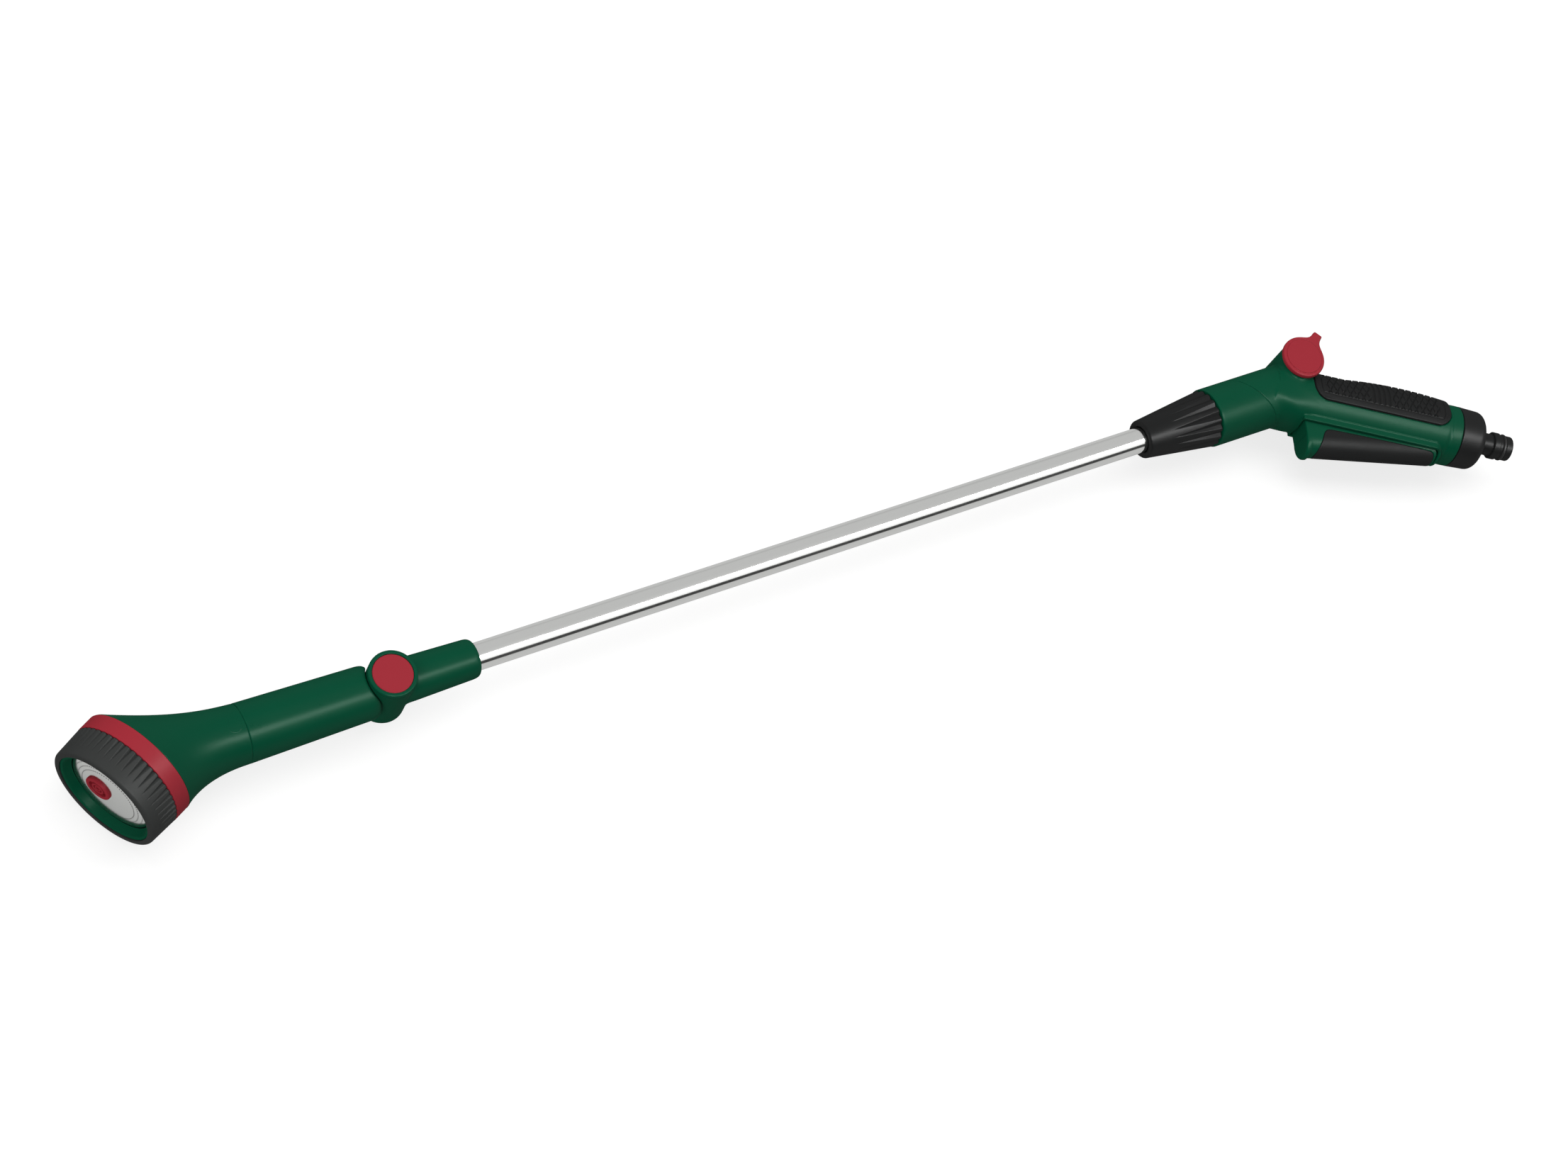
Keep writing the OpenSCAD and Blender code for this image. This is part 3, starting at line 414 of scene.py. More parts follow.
def turned(name, piece, where, wave=None):
    # piece gives its node and (x, r, bevel) profile; a gap splits the profile so that a wave has points to
    # move, and inside follows as it is
    path = roundProfile(piece["profile"], piece.get("steps", 5))
    if "gap" in piece:
        path = fillGaps(path, piece["gap"])
    mesh = latheMesh(path + list(piece.get("inside", ())), where, piece["sides"], wave,
                     piece.get("loop", True), piece.get("sharp", 40))
    place(name, mesh, piece["node"], piece.get("finish"))


# blended forms: a distance field in mm, meshed on a grid and drawn onto the surface
def softMin(a, b, k):
    # union with a fillet; the curvature runs on evenly into both forms
    k = 1.5 * k
    h = np.maximum(k - np.abs(a - b), 0) / k
    return np.minimum(a, b) - h ** 3 * k / 6


def softMax(a, b, k):
    return -softMin(-a, -b, k)


def cornerField(a, b, edge):
    # two flat sides that meet in a rounded corner
    return np.hypot(np.maximum(a, 0), np.maximum(b, 0)) + np.minimum(np.maximum(a, b), 0) - edge


def boxField(p, low, high, edge=0.0):
    # box with rounded edges; tables list low, high and edge
    low, high = np.array(low, float), np.array(high, float)
    q = np.abs(p - (low + high) / 2) - (high - low) / 2 + edge
    return np.linalg.norm(np.maximum(q, 0), axis=1) + np.minimum(q.max(axis=1), 0) - edge


def rodField(along, radial, r, start, end, edge=0.0):
    # round bar from its coordinate along and its distance from the axis; tables list r, start, end and edge
    return cornerField(radial - r + edge, np.maximum(start - along, along - end) + edge, edge)


def rearRound(x, z, end, half, corner):
    # plan outline of a form along X whose two rear corners are rounded; tables list end, half and corner
    return cornerField(x - end + corner, np.abs(z) - half + corner, corner)


def smoothStep(t, low, high):
    t = np.clip((t - low) / (high - low), 0, 1)
    return t * t * (3 - 2 * t)


def between(t, low, high, edge):
    # 1 from low to high, with soft ends
    return smoothStep(t, low - edge, low + edge) * (1 - smoothStep(t, high - edge, high + edge))


meshing = {"slab": 16, "draws": 4, "probe": 0.02, "normalProbe": 0.05, "flattest": 0.05, "reach": 0.5}


def fieldGradient(field, p, probe):
    gradient = np.zeros_like(p)
    for axis in range(3):
        step = np.zeros(3)
        step[axis] = probe
        gradient[:, axis] = (field(p + step) - field(p - step)) / (2 * probe)
    return gradient


def blendedMesh(field, shape, where):
    # shape gives the box to search and the grid's step
    m = meshing
    (low, high), step = shape["box"], shape["step"]
    axes = [np.arange(low[i] - step, high[i] + 2 * step, step) for i in range(3)]
    size = tuple(len(axis) for axis in axes)
    value = np.zeros(size, dtype=np.float64)
    yy, zz = np.meshgrid(axes[1], axes[2], indexing="ij")
    for first in range(0, size[0], m["slab"]):
        xs = axes[0][first:first + m["slab"]]
        p = np.empty((len(xs), *yy.shape, 3))
        p[..., 0] = xs[:, None, None]
        p[..., 1] = yy
        p[..., 2] = zz
        value[first:first + m["slab"]] = field(p.reshape(-1, 3)).reshape(len(xs), *yy.shape)
    # cells that the surface crosses get one point each
    corners = np.array([(i, j, k) for i in (0, 1) for j in (0, 1) for k in (0, 1)])
    cells = [value[i:size[0] - 1 + i, j:size[1] - 1 + j, k:size[2] - 1 + k] for i, j, k in corners]
    active = (np.minimum.reduce(cells) < 0) & (np.maximum.reduce(cells) >= 0)
    index = np.argwhere(active)
    corner = np.stack([cell[active] for cell in cells], axis=1)
    total = np.zeros((len(index), 3))
    hits = np.zeros(len(index))
    pairs = [(a, b) for a in range(8) for b in range(a + 1, 8)]
    for a, b in (pair for pair in pairs if abs(corners[pair[0]] - corners[pair[1]]).sum() == 1):
        va, vb = corner[:, a], corner[:, b]
        cross = (va < 0) != (vb < 0)
        share = np.where(cross, va / np.where(cross, va - vb, 1), 0)
        total += (corners[a] + share[:, None] * (corners[b] - corners[a])) * cross[:, None]
        hits += cross
    start = np.array([axis[0] for axis in axes])
    verts = start + (index + total / hits[:, None]) * step
    number = np.full(active.shape, -1, dtype=np.int64)
    number[active] = np.arange(len(index))
    # each grid edge that the surface crosses gets a face between its four cells
    inside = value < 0
    faces = []
    for axis in range(3):
        other = [i for i in range(3) if i != axis]
        lead = np.take(inside, range(0, size[axis] - 1), axis=axis)
        tail = np.take(inside, range(1, size[axis]), axis=axis)
        edges = np.argwhere(lead != tail)
        edges = edges[np.all([(edges[:, o] > 0) & (edges[:, o] < size[o] - 1) for o in other], axis=0)]
        quad = []
        for du, dv in ((0, 0), (1, 0), (1, 1), (0, 1)):
            cell = edges.copy()
            cell[:, other[0]] -= 1 - du
            cell[:, other[1]] -= 1 - dv
            quad.append(number[tuple(cell.T)])
        quad = np.stack(quad, axis=1)
        out = lead[tuple(edges.T)]
        flip = out if axis != 1 else ~out
        faces.append(np.where(flip[:, None], quad, quad[:, ::-1]))
    # draw the points onto the surface
    most = m["reach"] * step
    for _ in range(m["draws"]):
        gap = field(verts)
        gradient = fieldGradient(field, verts, m["probe"])
        length = np.maximum((gradient * gradient).sum(axis=1), m["flattest"])
        verts -= np.clip(gap / length, -most, most)[:, None] * gradient
    normals = fieldGradient(field, verts, m["normalProbe"])
    normals /= np.maximum(np.linalg.norm(normals, axis=1), 1e-6)[:, None]
    return meshFrom(verts, np.concatenate(faces).tolist(), where, normals)


# rose head
headShape = {
    "neckLen": 86.3, "neckR": 15.4, "seamR": 17.0, "neckStop": 9.0, "endRound": 2.4, "cutR": 14.25,
    "cutRound": 1.4, "spigot": (5.4, -20, -4.2), "seamGroove": 0.22, "grooveW": 0.5,
    "box": ((-86.5, -18, -18), (-4, 18, 18)), "step": 0.75,
}


def neckField(p):
    s = headShape
    x, y, z = p.T
    radial = np.hypot(y, z)
    along = (-x - s["neckStop"]) / (s["neckLen"] - s["neckStop"])
    taper = s["neckR"] + (s["seamR"] - s["neckR"]) * along
    # thin shadow line where the bell starts
    groove = s["seamGroove"] * (1 - smoothStep(np.abs(x + s["neckLen"]), 0.0, s["grooveW"]))
    body = softMax(radial - taper + groove, x + s["neckStop"], 2 * s["endRound"])
    body = np.maximum(body, -s["neckLen"] - x)
    body = softMax(body, s["cutR"] - np.hypot(x, y), s["cutRound"])
    return np.minimum(body, rodField(x, radial, *s["spigot"]))


place("neckShell", blendedMesh(neckField, headShape, pivotFrame), "neck")

bellShape = {
    "length": 56.7, "rise": 2.2, "rimR": 34.8, "wall": 2.4, "edge": 0.8, "lean": 0.1, "flare": 2.2,
    "tiltBend": 0.85, "seam": ((0, 0.6), (0, 0.22), (0.006, 0.02)), "rings": 56, "sides": 128,
    "sharp": 40,
}


def bellMesh():
    s = bellShape
    seamR = headShape["seamR"]
    tilt = math.radians(layout["faceTilt"])
    angles = np.linspace(0, 2 * math.pi, s["sides"], endpoint=False)
    rows = []

    def ring(share, r):
        # a ring across the bell's axis, which bends towards the face
        bend = tilt * share ** s["tiltBend"]
        out = r * np.cos(angles)
        rows.append(np.stack([-headShape["neckLen"] - s["length"] * share - math.sin(bend) * out,
                              s["rise"] * share + math.cos(bend) * out, r * np.sin(angles)], axis=1))

    def radius(share):
        return seamR + (s["rimR"] - seamR) * (s["lean"] * share + (1 - s["lean"]) * share ** s["flare"])

    ring(0, seamR - s["wall"])
    for share, inset in s["seam"]:
        ring(share, seamR - inset)
    for i in range(1, s["rings"] - 1):
        ring(i / s["rings"], radius(i / s["rings"]))
    # rounded edge of the rim
    for turn in np.radians(range(0, 91, 15)):
        share = 1 - s["edge"] * (1 - math.sin(turn)) / s["length"]
        ring(share, radius(share) - s["edge"] * (1 - math.cos(turn)))
    ring(1, s["rimR"] - s["wall"])
    inner = s["rings"] // 2
    for i in range(inner, -1, -1):
        ring(i / inner, radius(i / inner) - s["wall"])
    faces = gridFaces(len(rows), s["sides"], flip=True)
    return meshFrom(np.concatenate(rows), faces, pivotFrame, sharp=s["sharp"])


place("bellShell", bellMesh(), "bell", "greenBell")

accentShape = {
    "node": "accent_ring", "sides": 160,
    "profile": ((0, 31.35), (0, 34.6, 0.25), (9.6, 34.6, 0.5), (9.6, 31.35)),
}
turned("accentBand", accentShape, rimFrame)
print("head made")

# dial
bezelShape = {
    "node": "bezel", "finish": "bezelSkin", "sides": 728, "sharp": 50, "steps": 8, "gap": 0.7,
    "profile": ((9.9, 31.6), (9.9, 34.5, 0.15), (28.2, 33.7, 2.6), (28.2, 30.12)),
    "inside": ((22.3, 30.12), (22.3, 28.62), (11.6, 28.62), (11.6, 31.6)), "skinR": 32.7, "flutes": 52,
    "depth": 1.35, "start": 9.9, "end": 23.0, "fluteW": 0.56, "tipW": 0.02, "fade": 0.8,
}


def bezelWave(x, r, angle):
    # pointed cuts, deep at the back and gone before the front
    s = bezelShape
    run = np.clip((x - s["start"]) / (s["end"] - s["start"]), 0, 1)
    phase = np.abs(((angle * s["flutes"] / (2 * math.pi)) % 1.0) - 0.5) * 2
    cut = np.clip(1 - phase / (s["fluteW"] * (1 - run) + s["tipW"]), 0, 1)
    return x, np.where(r > s["skinR"], r - s["depth"] * (1 - run) ** s["fade"] * cut, r)


turned("bezelGrip", bezelShape, rimFrame, bezelWave)

cupShape = {
    "node": "face_cup", "sides": 160,
    "profile": ((22.5, 26.7), (22.5, 30.05), (27.45, 30.05, 0.25), (27.45, 28.55, 1.0), (23.0, 26.65, 0.3),
        (22.5, 26.3)),
}
turned("faceCup", cupShape, rimFrame)

plateShape = {
    "rim": 20.7, "dome": 3.9, "domeR": 26.5, "domeBend": 3.0, "thick": 1.3, "r": 26.2, "edge": 0.3,
    "holeR": 0.42, "rings": (17.6, 20.2, 22.8), "count": 72, "start": 0.2, "plainBands": 22,
    "skirtBands": 8, "jetOffset": -6.0, "jetHole": 6.7, "near": 2e-6, "sharp": 30,
}


def plateHeight(r):
    s = plateShape
    return s["rim"] + s["dome"] * max(1 - (r / s["domeR"]) ** s["domeBend"], 0) ** (1 / s["domeBend"])


def sprayPlateMesh():
    # domed bands, three of them cells with a drilled hole each
    s = plateShape
    verts, faces = [], []

    def add(r, angle, sink=0.0):
        verts.append((plateHeight(r) - sink, r * math.cos(angle), r * math.sin(angle)))
        return len(verts) - 1

    def slices(n):
        return [(2 * math.pi * i / n, 2 * math.pi * (i + 1) / n) for i in range(n)]

    def band(r0, r1, sink=0.0):
        for t0, t1 in slices(s["count"] * 2):
            rm, tm = (r0 + r1) / 2, (t0 + t1) / 2
            # left open under the jet
            if math.hypot(rm * math.cos(tm) - s["jetOffset"], rm * math.sin(tm)) < s["jetHole"]:
                continue
            faces.append((add(r0, t0), add(r0, t1), add(r1, t1, sink), add(r1, t0, sink)))

    half = (s["rings"][1] - s["rings"][0]) / 2
    edges = [s["rings"][0] - half] + [r + half for r in s["rings"]]
    plain = np.linspace(s["start"], edges[0], s["plainBands"])
    skirt = np.linspace(edges[-1], s["r"], s["skirtBands"])
    for radii in (plain, skirt):
        for r0, r1 in zip(radii, radii[1:]):
            band(r0, r1)
    band(s["r"], s["r"], s["edge"])
    for r, r0, r1 in zip(s["rings"], edges, edges[1:]):
        for t0, t1 in slices(s["count"]):
            tm, rm = (t0 + t1) / 2, (r0 + r1) / 2
            cell = [(r0, t0), (r0, tm), (r0, t1), (rm, t1), (r1, t1), (r1, tm), (r1, t0), (rm, t0)]
            outer = [add(*corner) for corner in cell]
            hole, foot = [], []
            for turn in np.radians((225, 270, 315, 0, 45, 90, 135, 180)):
                at = (r + s["holeR"] * math.sin(turn), tm + s["holeR"] * math.cos(turn) / r)
                hole.append(add(*at))
                foot.append(add(*at, s["thick"]))
            for i in range(8):
                k = (i + 1) % 8
                faces.append((outer[i], outer[k], hole[k], hole[i]))
                faces.append((hole[i], hole[k], foot[k], foot[i]))
    return settled(meshFrom(verts, faces, rimFrame), s["near"], s["sharp"])


place("sprayPlate", sprayPlateMesh(), "spray_plate")

# the jet stands beside the plate's middle: three rings inside each other and the opening
jetShape = {
    "node": "jet_nozzle", "sides": 96, "loop": False,
    "profile": ((21.1, 0), (21.1, 5.5), (22.6, 5.5), (22.6, 8.0), (26.0, 8.0, 0.8), (26.0, 5.7, 0.3),
        (23.8, 5.4, 0.2), (23.8, 4.1, 0.2), (25.7, 3.9, 0.3), (25.7, 2.8, 0.25), (24.4, 2.6, 0.15),
        (24.4, 2.1, 0.15), (25.5, 2.0, 0.2), (25.5, 1.05, 0.15), (23.0, 1.0, 0.1), (23.0, 0)),
}
turned("jetNozzle", jetShape, rimFrame @ Matrix.Translation((0, plateShape["jetOffset"], 0)))
print("dial made")

# swivel and tube
socketShape = {
    "barrel": (13.9, -20.8, 18.2, 0.9), "low": -20.8, "top": 18.2, "waist": (15.4, 0.35, 0.7),
    "taper": ((13, 53.5), (12.6, 11.4)), "length": 53.5, "endRound": 4.0, "fillet": 1.5,
    "wells": ((11.6, -15.7, far), (11.6, -far, -18.2)), "wellEdge": 0.5,
    "tubeBore": (8.1, 23.4, far), "tubeEdge": 0.6, "water": (4.0, 0, far), "window": (-46.4, 76.4),
    "windowH": 5.7, "windowR": 9.0, "perDegree": 0.2, "box": ((-14.2, -14.2, -21), (53.7, 14.2, 18.4)),
    "step": 0.6,
}


def socketField(p):
    s = socketShape
    x, y, z = p.T
    around, radial = np.hypot(x, y), np.hypot(y, z)
    # a bead at each end of the barrel, above a shallow waist
    height, depth, width = s["waist"]
    waist = depth * (1 - smoothStep(np.abs(np.abs(z) - height), 0.0, width))
    barrel = rodField(z, around, *s["barrel"]) + waist
    sleeve = softMax(radial - np.interp(x, *s["taper"]), x - s["length"], s["endRound"])
    body = softMin(barrel, np.maximum(sleeve, -x), s["fillet"])
    body = np.maximum(body, np.maximum(z - s["top"], s["low"] - z))
    for well in s["wells"]:
        body = softMax(body, -rodField(z, around, *well), s["wellEdge"])
    body = softMax(body, -rodField(x, radial, *s["tubeBore"]), s["tubeEdge"])
    body = np.maximum(body, -rodField(x, radial, *s["water"]))
    # window for the neck's spigot
    low, high = s["window"]
    away = np.degrees(np.arctan2(y, -x))
    window = np.maximum(np.maximum(away - high, low - away) * s["perDegree"], np.abs(z) - s["windowH"])
    return np.maximum(body, -np.maximum(window, s["windowR"] - around))


place("tubeSocket", blendedMesh(socketField, socketShape, pivotFrame), "tube_socket")

capShape = {
    "node": "swivel_cap", "sides": 96, "loop": False,
    "profile": ((15.2, 0), (15.2, 11.5), (17.7, 11.5, 0.35), (17.7, 0)),
}
turned("swivelCap", capShape, pivotFrame @ Matrix.Rotation(math.radians(-90), 4, "Y"))

tubeShape = {
    "node": "tube", "sides": 96, "gap": 20, "profile": ((23.5, 8.0), (581.8, 8.0)),
    "inside": fillGaps(((581.8, 7.0), (23.5, 7.0)), 100),
}
turned("tubeMetal", tubeShape, pivotFrame)
print("swivel and tube made")

# clamp nut and barrel front
nutShape = {
    "node": "clamp_nut", "sides": 432, "sharp": 45, "steps": 6, "gap": 1.0,
    "profile": ((-101.9, 8.25), (-104.0, 8.45, 0.3), (-104.4, 9.45, 0.3), (-104.4, 12.0, 1.7),
        (-54.1, 18.05, 0.7), (-53.9, 15.0)), "skinR": 11.0,
    "inside": ((-53.9, 13.15), (-76.6, 13.15), (-76.6, 11.9), (-90, 11.9), (-92.5, 8.3)), "flutes": 18,
    "depth": 1.35, "start": -87.5, "full": -58.0, "tipW": 0.05, "fluteW": 0.33, "deepen": 0.8,
    "sharpen": 0.85,
}


def nutWave(x, r, angle):
    # pointed cuts that widen and deepen towards the back
    s = nutShape
    run = np.clip((x - s["start"]) / (s["full"] - s["start"]), 0, 1)
    phase = np.abs(((angle * s["flutes"] / (2 * math.pi)) % 1.0) - 0.5)
    cut = np.clip(1 - phase / (s["tipW"] + s["fluteW"] * run), 0, 1)
    return x, np.where(r > s["skinR"], r - s["depth"] * run ** s["deepen"] * cut ** s["sharpen"], r)


turned("clampNut", nutShape, tubeFrame, nutWave)

# the barrel's edges are steps of (share of the length, inset)
barrelShape = {
    "start": -53.6, "r": 18.6, "seam": 22.0, "bore": 14.15, "boreEnd": 0.6, "water": 8.15, "noseEnd": -76.0,
    "noseR": 12.8, "noseIn": 13.0, "noseGap": 0.02, "run": 100.0,
    "frontEdge": ((0, 0.4), (0.003, 0.32), (0.008, 0.12), (0.015, 0)),
    "seamEdge": ((0.988, 0), (0.995, 0.03), (1.0, 0.12)), "plain": (0.05, 0.97), "bands": 13,
    "sides": 144, "sharp": 35,
}


def barrelWave(x, r, angle):
    # the rear end is cut on the slant of the seam, so each line along the barrel has its own length
    s = barrelShape
    end = -s["seam"] - r * np.cos(angle) * math.tan(math.radians(layout["gripAngle"]))
    share = np.clip((x - s["start"]) / s["run"], 0, 1)
    return np.where(x > s["start"], s["start"] + (end - s["start"]) * share, x), r


def barrelProfile():
    s = barrelShape
    steps = list(s["frontEdge"]) + [(share, 0) for share in np.linspace(*s["plain"], s["bands"])]
    steps += s["seamEdge"]
    path = [(s["start"], s["noseIn"])]
    path += [(s["start"] + s["run"] * share, s["r"] - inset) for share, inset in steps]
    rear, stop = s["start"] + s["run"], s["start"] + s["run"] * s["boreEnd"]
    return path + [(rear, s["bore"]), (stop, s["bore"]), (stop, s["water"]), (s["noseEnd"], s["water"]),
                   (s["noseEnd"], s["noseR"]), (s["start"] - s["noseGap"], s["noseR"])]


barrelMesh = latheMesh(
    barrelProfile(), tubeFrame, barrelShape["sides"], barrelWave, sharp=barrelShape["sharp"])
place("barrelFront", barrelMesh, "barrel_front")
print("nut and barrel made")

# handle body
handleShape = {
    "barrelR": 18.6, "barrelEnd": 7, "seam": 21.9, "gripR": 19.6, "gripStart": -4, "slim": 1.0,
    "slimRun": (-2, 14), "endR": 19.4, "shoulder": (116.6, 117.9), "length": 123.7, "endRound": 0.8,
    "valley": (0.4, 115.6, 1.5), "blend": 10.0, "blendRun": 12, "blendSide": (-14, 0), "soft": 0.5,
    "boss": (13.2, -20.3, 20.3, 0.4), "bossH": 20.3, "bossLine": 0.6, "bossBlend": 6.0, "bossRun": 12,
    "bossFade": (8, 19), "padZone": (19.4, 115.1, -6.0, 10.1), "padR": 18.3,
    "rimBox": ((15.3, -19.0, -12.6), (111.9, -4, 12.6), 0.4), "rimPlan": (112.9, 12.6, 7.0),
    "tail": (12.6, 110.9, 112.9, 0.8), "tailY": -10.5, "tailBlend": 1.2,
    "beadY": -15.1, "beadR": 0.4, "beadStart": 15.7, "beadBlend": 0.3,
    "pocketBox": ((16.3, -far, -10.3), (110.9, -2.5, 10.3), 0.3), "pocketPlan": (110.9, 10.3, 4.7),
    "cavity": (15.8, 24.0, far), "chamberR": 10.1, "chamberEdge": 0.6, "bore": (7.0, -far, 10),
    "joint": (13.9, -far, -12), "box": ((-38, -24, -20.6), (125, 33, 20.6)), "step": 0.7,
}


def handleField(p):
    s = handleShape
    x, y, z = p.T
    turn = math.radians(layout["gripAngle"])
    xt = x * math.cos(turn) + y * math.sin(turn)
    yt = -x * math.sin(turn) + y * math.cos(turn)
    radial, tubeRadial = np.hypot(y, z), np.hypot(yt, z)
    # barrel behind the slanting seam, its edge slightly broken
    behind = (xt + s["seam"]) * math.cos(turn) + yt * math.sin(turn)
    barrel = softMax(tubeRadial - s["barrelR"], -behind, s["soft"])
    barrel = np.maximum(barrel, xt - s["barrelEnd"])
    # grip, slimmer at the elbow, with a shallow valley before its shoulder
    depth, valleyX, width = s["valley"]
    gripR = s["gripR"] - s["slim"] * (1 - smoothStep(x, *s["slimRun"]))
    gripR = gripR - (s["gripR"] - s["endR"]) * smoothStep(x, *s["shoulder"])
    gripR = gripR - depth * np.exp(-((x - valleyX) / width) ** 2)
    grip = softMax(np.maximum(radial - gripR, s["gripStart"] - x), x - s["length"], s["endRound"])
    # the elbow's fillet lies on the trigger side and grows from nothing at the seam
    fillet = s["blend"] * smoothStep(behind, 0, s["blendRun"]) * (1 - smoothStep(y, *s["blendSide"]))
    body = softMin(barrel, grip, s["soft"] + fillet)
    # seat of the pad: square top, rounded lower corners
    start, end, low, corner = s["padZone"]
    aside = np.abs(x - (start + end) / 2) - (end - start) / 2 + corner
    zone = cornerField(aside, low + corner - y, corner)
    body = softMax(body, -np.maximum(s["padR"] - radial, zone), s["soft"])
    # valve boss, filleted on the side towards the trigger
    bx, by = layout["valve"]
    around = np.hypot(x - bx, y - by)
    fillet = s["bossBlend"] * smoothStep(by - y, 0, s["bossRun"]) * (1 - smoothStep(x, *s["bossFade"]))
    body = softMin(body, rodField(z, around, *s["boss"]), s["bossLine"] + fillet)
    body = np.maximum(body, np.abs(z) - s["bossH"])
    # raised rim round the trigger
    tail = rodField(x, np.hypot(y - s["tailY"], z), *s["tail"])
    rim = softMin(boxField(p, *s["rimBox"]), tail, s["tailBlend"])
    plan = rearRound(x, z, *s["rimPlan"])
    body = softMin(body, np.maximum(rim, plan), s["soft"])
    # fine bead along the rim's upper edge
    bead = np.maximum(np.hypot(y - s["beadY"], plan) - s["beadR"], s["beadStart"] - x)
    body = softMin(body, bead, s["beadBlend"])
    pocket = np.maximum(boxField(p, *s["pocketBox"]), rearRound(x, z, *s["pocketPlan"]))
    body = softMax(body, -pocket, s["soft"])
    body = np.maximum(body, -rodField(x, radial, *s["cavity"]))
    body = softMax(body, s["chamberR"] - around, s["chamberEdge"])
    body = np.maximum(body, -rodField(xt, tubeRadial, *s["bore"]))
    return np.maximum(body, -rodField(xt, tubeRadial, *s["joint"]))


place("handleBody", blendedMesh(handleField, handleShape, gripFrame), "handle_body")
print("handle made")

# grip pad
padShape = {
    "x": 19.7, "length": 95.1, "half": 106.9, "corner": 10.0, "seat": 18.36, "outer": 20.1, "midR": 20.0,
    "round": 19.8, "humpX": 84.0, "hump": 3.2, "bend": 276.0, "roll": 0.9, "bossClear": 13.45,
    "hatch": ((27.0, 58.0), (73.6, 106.5)), "ribs": (58.6, 73.0), "ribCount": 4, "ribLine": (0.10, 0.30),
    "border": 4.8, "borderEdge": 0.5, "fieldEdge": 0.3, "cellLong": 4.6, "cellWide": 8.6, "groove": 0.75,
    "line": (0.1, 0.55), "frameDepth": 0.6, "frameIn": 0.3, "frameLine": (0.1, 0.45), "rows": 250,
    "cols": 320, "sharp": 60,
}


def padRadius(x, phi):
    # round bar bent into a bow, which stands out of the grip's own round on the palm side
    s = padShape
    off = s["hump"] - s["bend"] + np.sqrt(s["bend"] ** 2 - (x - s["humpX"]) ** 2)
    bow = off * np.cos(phi) + np.sqrt(np.maximum(s["round"] ** 2 - (off * np.sin(phi)) ** 2, 0))
    return np.maximum(s["outer"], bow)


def hatchDepth(x, arc, edgeDist):
    # crossed grooves in two fields, upright ribs between them and a fine line round both
    s = padShape
    across = smoothStep(edgeDist, s["border"], s["border"] + s["borderEdge"])
    u, v = x / s["cellLong"], arc / s["cellWide"]
    length = math.hypot(1 / s["cellLong"], 1 / s["cellWide"])
    crossed = np.minimum(np.abs(u + v - np.round(u + v)), np.abs(u - v - np.round(u - v))) / length
    low, high = s["ribs"]
    phase = np.abs((x - low) / (high - low) * s["ribCount"] % 1.0 - 0.5)
    lines = [(*field, 1 - smoothStep(crossed, *s["line"])) for field in s["hatch"]]
    lines.append((low, high, 1 - smoothStep(phase, *s["ribLine"])))
    fromFrame = np.abs(edgeDist - s["border"] + s["frameIn"])
    depth = s["frameDepth"] * (1 - smoothStep(fromFrame, *s["frameLine"]))
    for low, high, cut in lines:
        depth = np.maximum(depth, between(x, low, high, s["fieldEdge"]) * across * cut)
    return depth * s["groove"]


def gripPadMesh():
    s = padShape
    half = math.radians(s["half"])
    bx, by = layout["valve"]
    grid = np.zeros((s["rows"], s["cols"], 3))
    for i, phi in enumerate(np.linspace(-half, half, s["rows"])):
        # rounded lower corners seen from the side
        fromEdge = max((math.cos(phi) - math.cos(half)) * s["midR"], 0.0)
        inset = 0.0
        if fromEdge < s["corner"]:
            inset = s["corner"] - math.sqrt(max(s["corner"] ** 2 - (s["corner"] - fromEdge) ** 2, 0))
        x0, x1 = s["x"] + inset, s["x"] + s["length"] - inset
        # room for the valve boss
        reach = s["bossClear"] ** 2 - (math.cos(phi) * s["midR"] - by) ** 2
        if reach > 0:
            x0 = max(x0, bx + math.sqrt(reach))
        x = np.linspace(x0, x1, s["cols"])
        edgeDist = np.minimum(np.minimum(x - x0, x1 - x), (half - abs(phi)) * s["midR"])
        roll = np.clip(1 - edgeDist / s["roll"], 0, 1)
        drop = s["roll"] * (1 - np.sqrt(np.maximum(1 - roll ** 2, 0)))
        radius = padRadius(x, phi) - drop - hatchDepth(x, phi * s["midR"], edgeDist)
        edge = (edgeDist <= 1e-6) | (i in (0, s["rows"] - 1))
        radius = np.where(edge, s["seat"], np.maximum(radius, s["seat"]))
        grid[i] = np.stack([x, radius * math.cos(phi), radius * math.sin(phi)], axis=1)
    faces = gridFaces(s["rows"], s["cols"], ring=False, flip=True)
    return settled(meshFrom(grid.reshape(-1, 3), faces, gripFrame), 0, s["sharp"])


place("gripPad", gripPadMesh(), "grip_pad")
print("pad made")

# valve knob
knobShape = {
    "r": 14.15, "low": 20.6, "top": 23.98, "tabStart": 6.0, "tabReach": 21.55, "tabHalf": 3.05,
    "tabCorner": 1.0, "tabAngle": 62.0, "rootBlend": 6.0, "edge": 0.8, "underEdge": 0.6, "innerR": 12.07,
    "step": 0.3, "ledge": 0.3, "ledgeEdge": 0.25, "groove": (0.1, 0.15, 0.3), "grooveEdge": 0.15,
    "stem": (5.05, 10, 22.6), "box": ((-15, -15, 20.4), (22, 23, 24.2)),
}


